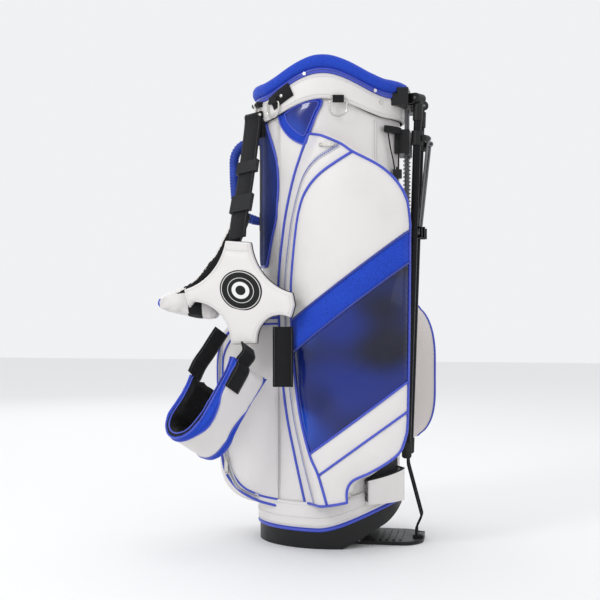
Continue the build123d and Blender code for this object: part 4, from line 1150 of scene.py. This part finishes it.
def handle_radius(share):
    """Ribbed grip that thins towards its sewn ends."""
    end = min(share, 1 - share)
    ribs = 0.55 * sin(2 * pi * share * handle_length / RIB_PITCH) if end > 0.07 else 0
    return (7.2 + 1.6 * min(1.0, end / 0.08) + ribs) * MM


handle = tube(handle_path, handle_radius, sides=18)
finish_shape("handle_grip", handle, GRIP, stands_for=("carry_handle",), slot="blue_rubber")
patch_shapes = []
for patch_z in (HANDLE[0][1], HANDLE[-1][1]):
    patch_rows = []
    for z in np.linspace(patch_z - 17, patch_z + 17, 9):
        patch_rows.append([ring_spot(pi + turn, 5.0, z) for turn in np.linspace(-0.17, 0.17, 9)])
    patch_shapes.append(loft(patch_rows))
finish_shape("handle_patches", patch_shapes, WEBBING, slot="webbing")


# ---------------------------------------------------------------- ball pocket
BALL_FACE = flat(
    [
        (-84, 70), (-113, 76), (-134, 84), (-156, 95), (-173, 110), (-187, 133), (-195, 180), (-199, 250),
        (-201, 310), (-199, 345), (-190, 370), (-174, 388), (-150, 402), (-120, 410), (-84, 412),
    ]
)
BALL_MIDDLE = flat(
    [
        (-84, 68), (-128, 68), (-160, 74), (-182, 86), (-197, 106), (-204, 133), (-207, 180), (-211, 250),
        (-214, 310), (-212, 345), (-203, 378), (-188, 399), (-160, 417), (-122, 425), (-84, 427),
    ]
)


def ball_edge_y(x):
    """Half the ball pocket's depth at x (mm): it narrows past the spine."""
    return 87 if x > -140 else 87 - (-140 - x) * 16 / 55


BALL_ROWS = 90


def evened(line):
    """A plan line again, in BALL_ROWS even steps."""
    points = [Vector((point[0], point[1])) for point in line[::6] + [line[-1]]]
    return smooth_path(points, running_length(line)[-1] / BALL_ROWS)


ball_rows = []
for edge, middle in zip(evened(BALL_FACE), evened(BALL_MIDDLE)):
    row = []
    for side in np.linspace(-1, 1, 31):
        full = (1 - abs(side) ** 2.6) ** 0.6
        plan = edge + (middle - edge) * full
        y = side * ball_edge_y(edge[0])
        base = spot(plan[0], y, plan[1])
        swell = 0.8 * noise.noise(base * 22) * full
        row.append(spot(plan[0] - swell, y, plan[1]))
    ball_rows.append(row)
finish_shape("ball_pocket_back", loft(ball_rows), WHITE, stands_for=("ball_pocket",), slot="leatherette")


def ball_place(side):
    """Surface function of one face of the ball pocket."""
    return lambda x, z, lift: spot(x, side * (ball_edge_y(x) + lift), z)


inner_line = flat(
    [
        (-84, 82), (-113, 87), (-130, 93), (-149, 102), (-164, 116), (-177, 137), (-185, 180), (-189, 250),
        (-191, 310), (-189, 340), (-180, 362), (-166, 378), (-146, 391), (-118, 399), (-84, 401),
    ]
)
ball_pipes = []
for side, side_name in ((-1, "near"), (1, "far")):
    sewn_panel(
        f"ball_pocket_{side_name}_face",
        BALL_FACE,
        [inner_line],
        ball_place(side),
        [WHITE],
        height=3.0,
        width=16.0,
        slot="leatherette",
    )
    ball_pipes.append(piping(ball_place(side), BALL_FACE, 0.8, PIPE))
    ball_pipes.append(piping(ball_place(side), inner_line, 0.8, 0.0019))
finish_shape("ball_pocket_piping", ball_pipes, PIPING, slot="piping")


# ---------------------------------------------------------------- far pocket
FAR_EDGE = flat(
    [
        (-30, 175), (130, 175), (160, 184), (178, 208), (187, 245), (188, 300), (187, 355), (178, 395),
        (160, 424), (130, 436), (-30, 436), (-60, 424), (-80, 395), (-89, 355), (-90, 300), (-89, 245),
        (-80, 208), (-60, 184), (-30, 175),
    ]
)[:-1]


FAR_TURNS = (-62.0, 168.0)   # where the face starts to turn in at its two sides
FAR_MIDDLE = Vector((49.0, 305.5))
FAR_INSIDE = 0.86            # size of the inner seam against the outline


def far_y(x):
    """Back of the far pocket (mm): an arc that turns in at both sides."""
    y = far_arc(min(max(x, FAR_TURNS[0]), FAR_TURNS[1]))
    if x > FAR_TURNS[1]:
        y -= 24 * ((x - FAR_TURNS[1]) / 20) ** 2
    if x < FAR_TURNS[0]:
        y -= 34 * ((FAR_TURNS[0] - x) / 28) ** 1.6
    return y


def far_place(x, z, lift):
    """Place on the far pocket's face, lifted outwards (mm)."""
    lean = (x - FAR_X) / FAR_R
    return spot(x + lean * lift, far_y(x) + lift, z)


far_inner = [FAR_MIDDLE + (point - FAR_MIDDLE) * FAR_INSIDE for point in FAR_EDGE]
far_inner.append(far_inner[0])
# The far pocket's face is in painted shade: it takes the darker copy of the white leatherette.
sewn_panel(
    "far_pocket_face",
    FAR_EDGE,
    [far_inner],
    far_place,
    [WHITE_IN_PAINTED_SHADE],
    height=4.0,
    width=18.0,
    stands_for=("far_pocket",),
    slot="leatherette",
)
far_rows = []
for point in FAR_EDGE:
    offset = point - FAR_MIDDLE
    back_x = min(max(FAR_MIDDLE.x + offset.x * 0.62, -78), 112)
    back = spot(back_x, oval_y(back_x, 0.3), FAR_MIDDLE.y + offset.y * 0.98)
    front = far_place(point.x, point.y, 0)
    out = spot(offset.x, 0, offset.y).normalized()
    far_rows.append([front.lerp(back, s) + out * 0.008 * sin(pi * s) for s in np.linspace(0, 1, 8)])
# The gusset is in the same painted shade as the far pocket's face.
finish_shape("far_pocket_gusset", loft(far_rows, close_rows=True), WHITE_IN_PAINTED_SHADE, slot="leatherette")
far_pipes = [piping(far_place, FAR_EDGE, 0.8, PIPE, closed=True)]
far_pipes.append(piping(far_place, far_inner[:-1], 0.8, 0.0018, closed=True))
finish_shape("far_pocket_piping", far_pipes, PIPING, slot="piping")


# ---------------------------------------------------------------- umbrella pouch
POUCH_TURNS = np.radians(np.linspace(-56.5, -20.5, 22))
POUCH_IN = 6.6            # where the pouch meets the base band, and how far its wall stands out
POUCH_OUT = 21.6
POUCH_LOW = 81.0


def mouth_height(share):
    """Height of the pouch's mouth, which rises from its spine side (0) to its leg side (1)."""
    return 122.0 + 19.0 * share


def pouch_rows(outset, low):
    """Rows of the pouch's wall from low up to its mouth (mm)."""
    rows = []
    for level in np.linspace(0, 1, 12):
        flare = outset + 0.8 * noise.noise(Vector((level * 3.1, 3, 1)))
        spots = [(POUCH_TURNS[0], out) for out in np.linspace(POUCH_IN, flare, 5)[:-1]]
        spots += [(turn, flare) for turn in POUCH_TURNS]
        spots += [(POUCH_TURNS[-1], out) for out in np.linspace(flare, POUCH_IN, 5)[1:]]
        row = []
        for index, (turn, out) in enumerate(spots):
            top = mouth_height(index / (len(spots) - 1))
            row.append(ring_spot(turn, out, low + (top - low) * level))
        rows.append(row)
    return rows


pouch_skin = pouch_rows(POUCH_OUT, POUCH_LOW)
pouch_inside = pouch_rows(POUCH_OUT - 1.6, POUCH_LOW + 5)
finish_shape("pouch_cloth", loft(pouch_skin), WHITE, stands_for=("umbrella_pouch",), slot="leatherette")
finish_shape("pouch_lining", loft(list(reversed(pouch_inside))), LINING, slot="webbing")
mouth = [(outer + inner) / 2 for outer, inner in zip(pouch_skin[-1], pouch_inside[-1])]
finish_shape("pouch_binding", tube(mouth, 0.0016), WEBBING, slot="webbing")
back_rows = []
for level in np.linspace(0, 1, 10):
    row = []
    for share in np.linspace(0, 1, 22):
        top = mouth_height(share) + 3.0 + 21.0 * share
        turn = POUCH_TURNS[0] + share * (POUCH_TURNS[-1] - POUCH_TURNS[0])
        row.append(ring_spot(turn, POUCH_IN + 1.2, POUCH_LOW + 5 + (top - POUCH_LOW - 5) * level))
    back_rows.append(row)
finish_shape("pouch_back", loft(back_rows), LINING, slot="webbing")


# ---------------------------------------------------------------- leather patch over the left ring
def dome(place, normal, radius, height):
    """Low rivet head."""
    side = normal.orthogonal().normalized()
    other = normal.cross(side)
    rows = []
    for share in (1.0, 0.97, 0.8, 0.5, 0.2, 0.02):
        lift = height * sqrt(1 - share * share) * MM
        middle = place + normal * lift
        rows.append([middle + (side * x + other * y) * share * radius * MM for x, y in circle(20)])
    return loft(rows, close_columns=True, cap=True)


PATCH_TURNS = np.radians(np.linspace(228.0, 246.5, 14))
PATCH_Z = np.linspace(800.0, 822.0, 14)
PATCH_OUT = 11.0
PATCH_WIDTH = 26.0
PATCH_HALF = 0.0012       # half its thickness (m)
patch_path = [ring_spot(turn, PATCH_OUT, z) for turn, z in zip(PATCH_TURNS, PATCH_Z)]
patch_out = ring_normals(PATCH_TURNS)
patch_sides = [normal.cross(heading) for normal, heading in zip(patch_out, directions(patch_path))]
patch = ribbon(patch_path, patch_sides, PATCH_WIDTH * MM, 2 * PATCH_HALF)
finish_shape("ring_patch", patch, WEBBING, slot="webbing")
middle = len(patch_path) // 2
rivet = dome(patch_path[middle] + patch_out[middle] * PATCH_HALF, patch_out[middle], 3.6, 1.8)
finish_shape("ring_patch_rivet", rivet, NICKEL, slot="metal")


# ---------------------------------------------------------------- springs
SPRING_TURNS = 17.2
SPRING_R = 4.4
SPRING_X = 143.0
SPRING_FOOT = 586.2
SPRING_RISE = 124.6


def spring(y):
    """One coil spring on its guide rod."""
    steps = int(SPRING_TURNS * 20)
    path = []
    for i in range(steps + 1):
        turn = 2 * pi * SPRING_TURNS * i / steps
        z = SPRING_FOOT + SPRING_RISE * i / steps
        path.append(spot(SPRING_X + SPRING_R * cos(turn), y + SPRING_R * sin(turn), z))
    return tube(path, 0.0008, sides=6)


springs = finish_shape(
    "coil_springs", [spring(-26), spring(26)], STEEL, stands_for=("return_springs",), slot="metal"
)
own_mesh(springs)


# ---------------------------------------------------------------- strap: drawing boards
class Board:
    """A flat place to draw on: an origin in millimetres, with x and y in the plane and z out of it."""

    def __init__(self, origin, x, z):
        self.origin = Vector(origin)
        self.x = Vector(x).normalized()
        self.z = Vector(z).normalized()
        self.y = self.z.cross(self.x)

    def at(self, u, v, w=0.0):
        """Place in metres of a point on the board."""
        return (self.origin + self.x * u + self.y * v + self.z * w) * MM

    def read(self, place):
        """The board's own u, v and w of a place in metres."""
        offset = place / MM - self.origin
        return offset.dot(self.x), offset.dot(self.y), offset.dot(self.z)


HANG_TURN = radians(10.0)
ACROSS = Vector((cos(HANG_TURN), sin(HANG_TURN), 0))
BACK = Vector((-sin(HANG_TURN), cos(HANG_TURN), 0))


def hung(across, back, up):
    """A point in millimetres, given in the hanging strap's own turned directions."""
    return ACROSS * across + BACK * back + UP * up


def straight(start, end, step=4.0):
    """Plan points on a line, without the last."""
    start, end = Vector(start), Vector(end)
    count = max(1, round((end - start).length / step))
    return [start.lerp(end, i / count) for i in range(count)]


def arc(start, through, end, step=4.0):
    """Plan points on the circle through three points, without the last."""
    (ax, ay), (bx, by), (cx, cy) = start, through, end
    twice = 2 * (ax * (by - cy) + bx * (cy - ay) + cx * (ay - by))
    squares = [x * x + y * y for x, y in (start, through, end)]
    middle = Vector(
        (
            (squares[0] * (by - cy) + squares[1] * (cy - ay) + squares[2] * (ay - by)) / twice,
            (squares[0] * (cx - bx) + squares[1] * (ax - cx) + squares[2] * (bx - ax)) / twice,
        )
    )
    angles = [atan2(y - middle.y, x - middle.x) for x, y in (start, through, end)]
    radius = (Vector(start) - middle).length
    turn = (angles[2] - angles[0]) % (2 * pi)
    if (angles[1] - angles[0]) % (2 * pi) > turn:
        turn -= 2 * pi
    count = max(3, round(abs(turn) * radius / step))
    spread = [angles[0] + turn * i / count for i in range(count)]
    return [middle + radius * Vector((cos(angle), sin(angle))) for angle in spread]


# ---------------------------------------------------------------- strap: star pad
STAR_TURN = radians(13.0)
STAR_SIDE = 5.0           # half the height of the pad's side strip
star_x = Vector((cos(STAR_TURN), -sin(STAR_TURN), 0))
star = Board(hung(-159, -124, 461), star_x, star_x.cross(UP))
STAR_EDGE = (
    straight((-32, 87), (14, 83))
    + arc((14, 83), (34, 33), (94, -6))
    + straight((94, -6), (98, -26))
    + straight((98, -26), (92, -46))
    + arc((92, -46), (46, -50), (26, -92))
    + straight((26, -92), (-21, -94))
    + arc((-21, -94), (-45, -40), (-98, -19))
    + straight((-98, -19), (-106, -29))
    + straight((-106, -29), (-115, 1))
    + arc((-115, 1), (-52, 42), (-32, 87))
)
STAR_HEM = straight((-33, 72), (16, 69))

sewn_panel(
    "star_front",
    STAR_EDGE,
    [STAR_HEM],
    lambda u, v, lift: star.at(u, v, STAR_SIDE + lift),
    [WHITE],
    height=4.2,
    width=11.0,
    wrinkle=1.0,
    body="strap",
    stands_for=("star_pad",),
    slot="leatherette",
)
sewn_panel(
    "star_back",
    STAR_EDGE,
    [],
    lambda u, v, lift: star.at(u, v, -STAR_SIDE - lift),
    [BLACK_MESH],
    height=2.0,
    width=11.0,
    body="strap",
    slot="mesh",
)


def star_ring(w, outset):
    """The star's edge at a height on the board, let out by outset (mm)."""
    path = [star.at(point.x, point.y, w) for point in STAR_EDGE]
    headings = directions(path, closed=True)
    return [place + star.z.cross(heading) * outset * MM for place, heading in zip(path, headings)]


STAR_STRIP = ((STAR_SIDE, 0.0), (3.4, 1.0), (0.0, 1.5), (-3.4, 1.0), (-STAR_SIDE, 0.0))
finish_shape(
    "star_side",
    loft([star_ring(*step) for step in STAR_STRIP], close_columns=True),
    WHITE,
    body="strap",
    slot="leatherette",
)
finish_shape(
    "star_binding",
    tube(star_ring(-STAR_SIDE, 0.6), 0.0016, closed=True),
    WEBBING,
    body="strap",
    slot="webbing",
)
star_seam = [star.at(point.x, point.y, STAR_SIDE + 1.1) for point in STAR_HEM]
star_threads = []
for row in (star_ring(STAR_SIDE + 1.1, -3.2), star_seam):
    star_threads.append(stitches(row, [star.z] * len(row), STITCH))
finish_shape("star_stitches", star_threads, THREAD, body="strap", slot="leatherette")

BADGE_TURN = radians(-18.0)
BADGE_X = 42.0
BADGE_Y = 35.0
# Share of the way out from the badge's middle, and height over the star's board (mm).
BADGE_STEPS = [(0.0, 10.2), (0.3, 10.15), (0.6, 10.0), (0.85, 9.8), (0.96, 9.6), (1.0, 9.0), (1.0, 7.0)]


def turned(u, v, angle):
    """Plan point turned about the board's origin."""
    return u * cos(angle) - v * sin(angle), u * sin(angle) + v * cos(angle)


def badge_mark(place):
    """Position on the badge, from -1 to 1 both ways."""
    u, v, _ = star.read(place)
    u, v = turned(u, v, -BADGE_TURN)
    return u / BADGE_X, v / BADGE_Y


badge_rows = []
for share, lift in BADGE_STEPS:
    row = []
    for x, y in circle(72):
        row.append(star.at(*turned(share * BADGE_X * x, share * BADGE_Y * y, BADGE_TURN), lift))
    badge_rows.append(row)
badge_places, badge_faces, _ = loft(badge_rows, close_columns=True)


build(
    "badge",
    badge_places,
    badge_faces,
    [emblem()],
    corners=[badge_mark(badge_places[index]) for face in badge_faces for index in face],
    body="strap",
    stands_for=("star_badge",),
    slot="badge",
)


# ---------------------------------------------------------------- strap: shoulder pads
SHRINK = 0.0015           # taken off each pad before it is blown up
CLOTH_STEPS = 20


def bake(piece):
    """Work a piece's modifiers into its mesh and take them off."""
    worked = bpy.data.meshes.new_from_object(piece.evaluated_get(bpy.context.evaluated_depsgraph_get()))
    piece.modifiers.clear()
    piece.data = worked


def puffed(name, node, materials, mark, cap, **facts):
    """Padded piece: a slightly smaller copy of a CAD node, blown up by the cloth solver.

    mark(place, normal) gives a face's material, and cap is the furthest that any point may move (metres).
    """
    mesh = cad[node].data.copy()
    mesh.transform(cad[node].matrix_world)
    mesh.materials.clear()
    piece = add_piece(name, mesh, [], stands_for=(node,), **facts)
    remesh = piece.modifiers.new("remesh", "REMESH")
    remesh.mode = "VOXEL"
    remesh.voxel_size = 0.005
    bake(piece)
    for vertex in piece.data.vertices:
        vertex.co -= vertex.normal * SHRINK
    start = [vertex.co.copy() for vertex in piece.data.vertices]
    cloth = piece.modifiers.new("cloth", "CLOTH")
    cloth.settings.use_pressure = True
    cloth.settings.uniform_pressure_force = 4.0
    cloth.settings.effector_weights.gravity = 0.0
    for step in range(1, CLOTH_STEPS + 1):
        bpy.context.scene.frame_set(step)
    bake(piece)
    bpy.context.scene.frame_set(1)
    for vertex, before in zip(piece.data.vertices, start):
        moved = vertex.co - before
        if moved.length > cap:
            vertex.co = before + moved.normalized() * cap
    finer = piece.modifiers.new("finer", "SUBSURF")
    finer.levels = 1
    finer.render_levels = 1
    bake(piece)
    for material in materials:
        piece.data.materials.append(material)
    for face in piece.data.polygons:
        face.use_smooth = True
        face.material_index = mark(face.center, face.normal)
    return piece


PAD_ANGLE = radians(38.0)
PAD_LEAN = radians(18.0)
PAD_BEND = Vector((-55.0, -46.0))       # middle of the pad's half turn, on its board
PAD_MIDDLE = 38.5                       # radius of its middle line there
pad_width = (ACROSS * 0.77 - UP * 0.64) * cos(PAD_ANGLE) + BACK * sin(PAD_ANGLE)
pad_rise = ACROSS * 0.64 + UP * 0.77
pad_depth = pad_rise.cross(pad_width).normalized()
pad = Board((-148, -185, 260), pad_rise * cos(PAD_LEAN) + pad_depth * sin(PAD_LEAN), pad_width)


def pad_outside(u, v):
    """How far a point lies outside the pad's middle line (mm)."""
    if u < PAD_BEND.x:
        return (Vector((u, v)) - PAD_BEND).length - PAD_MIDDLE
    return abs(v - PAD_BEND.y) - PAD_MIDDLE


def trim_start(u):
    """Where the blue edge starts across the pad: it is wider on the bend than at the ends."""
    return 37.0 - 13.0 * exp(-(((u + 40.0) / 45.0) ** 2))


def pad_mark(place, normal):
    """White outside with blue edges, and black mesh inside."""
    u, v, w = pad.read(place)
    if pad_outside(u, v) < 0:
        return 2
    return 1 if abs(w) > trim_start(u) else 0


lower_pad = puffed(
    "shoulder_cushion_lower",
    "shoulder_pad_lower",
    [WHITE, BLUE_MESH, BLACK_MESH],
    pad_mark,
    cap=0.006,
    body="strap",
    slot="leatherette",
)

top_board = Board(hung(0, -68, 0), ACROSS, -BACK)
TIP_U = -313.0
LINING_V = 456.0          # the pad's facing side is black above this height and white below it
BAND_U = (-262.0, -236.0)


def top_mark(place, normal):
    """White, with a blue tip, a black lining and a black band."""
    u, v, w = top_board.read(place)
    facing = normal.dot(-BACK)
    if u < TIP_U:
        return 1
    if v < 470 and BAND_U[0] < u < BAND_U[1]:
        return 3
    return 2 if v > LINING_V and (facing > 0.6 or normal.x > 0.1) else 0


puffed(
    "shoulder_cushion_upper",
    "shoulder_pad_upper",
    [WHITE, BLUE_MESH, BLACK_MESH, WEBBING],
    top_mark,
    cap=0.005,
    body="strap",
    slot="leatherette",
)


LAID_REACH = 0.014        # a point further off than this stays where it is (m)


def laid(path, piece, lift):
    """A path (metres) dropped on a piece's skin where that is near, evened out; and the skin's normals."""
    mesh = piece.data
    skin = BVHTree.FromPolygons([v.co for v in mesh.vertices], [face.vertices for face in mesh.polygons])
    places, normals = [], []
    for place in path:
        found, normal, _, gap = skin.find_nearest(place)
        places.append(found + normal * lift if gap < LAID_REACH else place.copy())
        normals.append(normal)
    for _ in range(3):
        inner = [(a + b * 2 + c) / 4 for a, b, c in zip(places, places[1:], places[2:])]
        places = [places[0], *inner, places[-1]]
        soft = [(a + b * 2 + c).normalized() for a, b, c in zip(normals, normals[1:], normals[2:])]
        normals = [normals[0], *soft, normals[-1]]
    return places, normals


def pad_line(w, radius, back_end=25.0, front_end=80.0):
    """Line round the pad at a place across it (mm), seen from outside."""
    reach = PAD_BEND.y + radius
    below = PAD_BEND.y - radius
    points = straight((front_end, reach), (PAD_BEND.x, reach))
    points += arc((PAD_BEND.x, reach), (PAD_BEND.x - radius, PAD_BEND.y), (PAD_BEND.x, below))
    points += straight((PAD_BEND.x, below), (back_end, below))
    return [pad.at(point.x, point.y, w(point.x)) for point in points]


pad_pipes, pad_threads = [], []
for side in (-1, 1):
    seam, _ = laid(pad_line(lambda u: side * trim_start(u), PAD_MIDDLE + 9), lower_pad, 0.0004)
    pad_pipes.append(tube(seam, 0.0016))
    beside, beside_normals = laid(
        pad_line(lambda u: side * (trim_start(u) - 4.0), PAD_MIDDLE + 9), lower_pad, 0.0
    )
    pad_threads.append(stitches(beside, beside_normals, STITCH))
    for radius in (PAD_MIDDLE + 6, PAD_MIDDLE - 6):
        edge, _ = laid(pad_line(lambda u: side * 47.0, radius), lower_pad, 0.0002)
        pad_pipes.append(tube(edge, 0.0014))
finish_shape("pad_piping", pad_pipes, PIPING, body="strap", slot="piping")
finish_shape("pad_stitches", pad_threads, THREAD, body="strap", slot="leatherette")


# ---------------------------------------------------------------- strap: webbing
WEB_T = 0.0025
WEB_TURN = radians(26.0)
WEB_LEAN = radians(6.6)
web_out = Vector((cos(WEB_TURN), -sin(WEB_TURN), 0))
web = Board(
    (-134, -61.5, 781.5),
    (sin(WEB_TURN), cos(WEB_TURN), 0),
    web_out * cos(WEB_LEAN) + UP * sin(WEB_LEAN),
)
tail = Board(hung(-106, -136, 397), BACK, ACROSS)
HOOK_LOOP = [(2, -40), (4.5, -22), (5.0, -8), (4.6, 2), (2.6, 6.2), (-1.6, 6.6), (-4.2, 2.5), (-5, -8)]
STRIPS = (
    (web, HOOK_LOOP + [(-18, -50), (-45, -128), (-72, -196), (-81, -229)], 38, 0, None),
    (pad, [(22, 1.5), (50, 1.5), (90, 1.5), (98, -5), (106, -14)], 34, -21, lower_pad),
    (pad, [(25, -92), (48, -92), (70, -88), (92, -86), (116, -83)], 34, -35, lower_pad),
    (tail, [(1, 0), (3, -50), (1, -106)], 36, 18, None),
)
web_shapes, web_threads = [], []
for board, points, width, middle, onto in STRIPS:
    plan = smooth_path([Vector(point) for point in points], 3.0)
    path = [board.at(point.x, point.y, middle) for point in plan]
    if onto is not None:
        path, _ = laid(path, onto, WEB_T / 2 + 0.0003)
    web_shapes.append(ribbon(path, [board.z] * len(path), width * MM, WEB_T))
    outward = [board.z.cross(heading) for heading in directions(path)]
    for side in (-1, 1):
        for face in (-1, 1):
            row = [
                place + board.z * side * (width / 2 - 3) * MM + out * face * (WEB_T / 2 + 0.0001)
                for place, out in zip(path, outward)
            ]
            web_threads.append(stitches(row, [out * face for out in outward], FINE_STITCH))
finish_shape(
    "strap_tapes", web_shapes, WEBBING, body="strap", stands_for=("strap_webbing",), slot="webbing"
)
finish_shape("strap_stitches", web_threads, DARK_THREAD, body="strap", slot="webbing")


# ---------------------------------------------------------------- dividers
DIVIDER_X = 42.0
DIVIDER_HALF = 96.0       # half the width of each full-length divider
DIVIDER_Z = (63.0, 779.5)
for side, side_name in ((-1, "spine"), (1, "leg")):
    rows = []
    for z in np.linspace(*DIVIDER_Z, 61):
        row = []
        for y in np.linspace(-DIVIDER_HALF, DIVIDER_HALF, 25):
            slack = 1.6 * noise.noise(Vector((y / 45, z / 90, side * 3.0)))
            hold = min(1.0, (DIVIDER_Z[1] - z) / 40, (DIVIDER_HALF - abs(y)) / 20)
            row.append(spot(side * DIVIDER_X + slack * hold, y, z))
        rows.append(row)
    divider = finish_shape(
        f"divider_cloth_{side_name}", loft(rows), LINING, stands_for=("divider_panels",), slot="webbing"
    )


# ---------------------------------------------------------------- finishes of the CAD parts that show
CAD_FINISHES = (
    (BLACK_PLASTIC, "base_molding cuff_shell divider_frame divider_bars cord_lock hook_bracket leg_bracket"),
    (BLACK_PLASTIC, "leg_fittings_near leg_fittings_far guide_block lower_guide slider pedal"),
    (GLOSS_PLASTIC, "strap_buckles cord_lock_button"),
    (WOVEN, "ring_tabs umbrella_tabs"),
    (ROD, "stay_rods"),
    (NICKEL, "d_ring_left d_ring_centre strap_hook snaps_and_eyelet"),
    (NICKEL, "near_zip_pull ball_zip_pull far_zip_pull"),
    (BLACK_METAL, "leg_tube_near leg_tube_far actuator_wires"),
    (STEEL, "strut_near strut_far guide_rods hinge_pins bracket_screws"),
    (RUBBER, "foot_near foot_far"),
)
for material, names in CAD_FINISHES:
    for name in names.split():
        cad[name].data.materials.clear()
        cad[name].data.materials.append(material)


# ---------------------------------------------------------------- studio
floor_mesh = bpy.data.meshes.new("floor")
floor_mesh.from_pydata([(-6, -6, 0), (6, -6, 0), (6, 6, 0), (-6, 6, 0)], [], [(0, 1, 2, 3)])
floor_finish = Finish("pale_floor", (0.86, 0.86, 0.86), 0.8)
floor_finish.tint(floor_finish.noise(1.5), (0.84, 0.84, 0.85), 0.05)
floor_mesh.materials.append(floor_finish.material)
floor = bpy.data.objects.new("floor", floor_mesh)
bpy.context.scene.collection.objects.link(floor)

world = bpy.data.worlds.new("studio")
world.use_nodes = True
world.node_tree.nodes["Background"].inputs["Color"].default_value = (0.97, 0.98, 1.0, 1)
world.node_tree.nodes["Background"].inputs["Strength"].default_value = 0.9
bpy.context.scene.world = world
bpy.context.scene.view_settings.view_transform = "Standard"


def soft_light(name, place, target, size, power):
    """Square area light that faces a target."""
    light = bpy.data.lights.new(name, "AREA")
    light.size = size
    light.energy = power
    lamp = bpy.data.objects.new(name, light)
    lamp.location = place
    lamp.rotation_euler = (Vector(target) - Vector(place)).to_track_quat("-Z", "Y").to_euler()
    bpy.context.scene.collection.objects.link(lamp)


soft_light("key", (-1.6, -2.2, 2.0), (0, 0, 0.45), 0.7, 22)
soft_light("fill", (2.2, -1.8, 1.2), (0, 0, 0.4), 1.6, 4)
soft_light("top", (0.2, 0.4, 2.6), (0, 0, 0.5), 1.4, 9)
soft_light("back", (-1.5, 2.2, 1.6), (0, 0, 0.5), 1.4, 7)
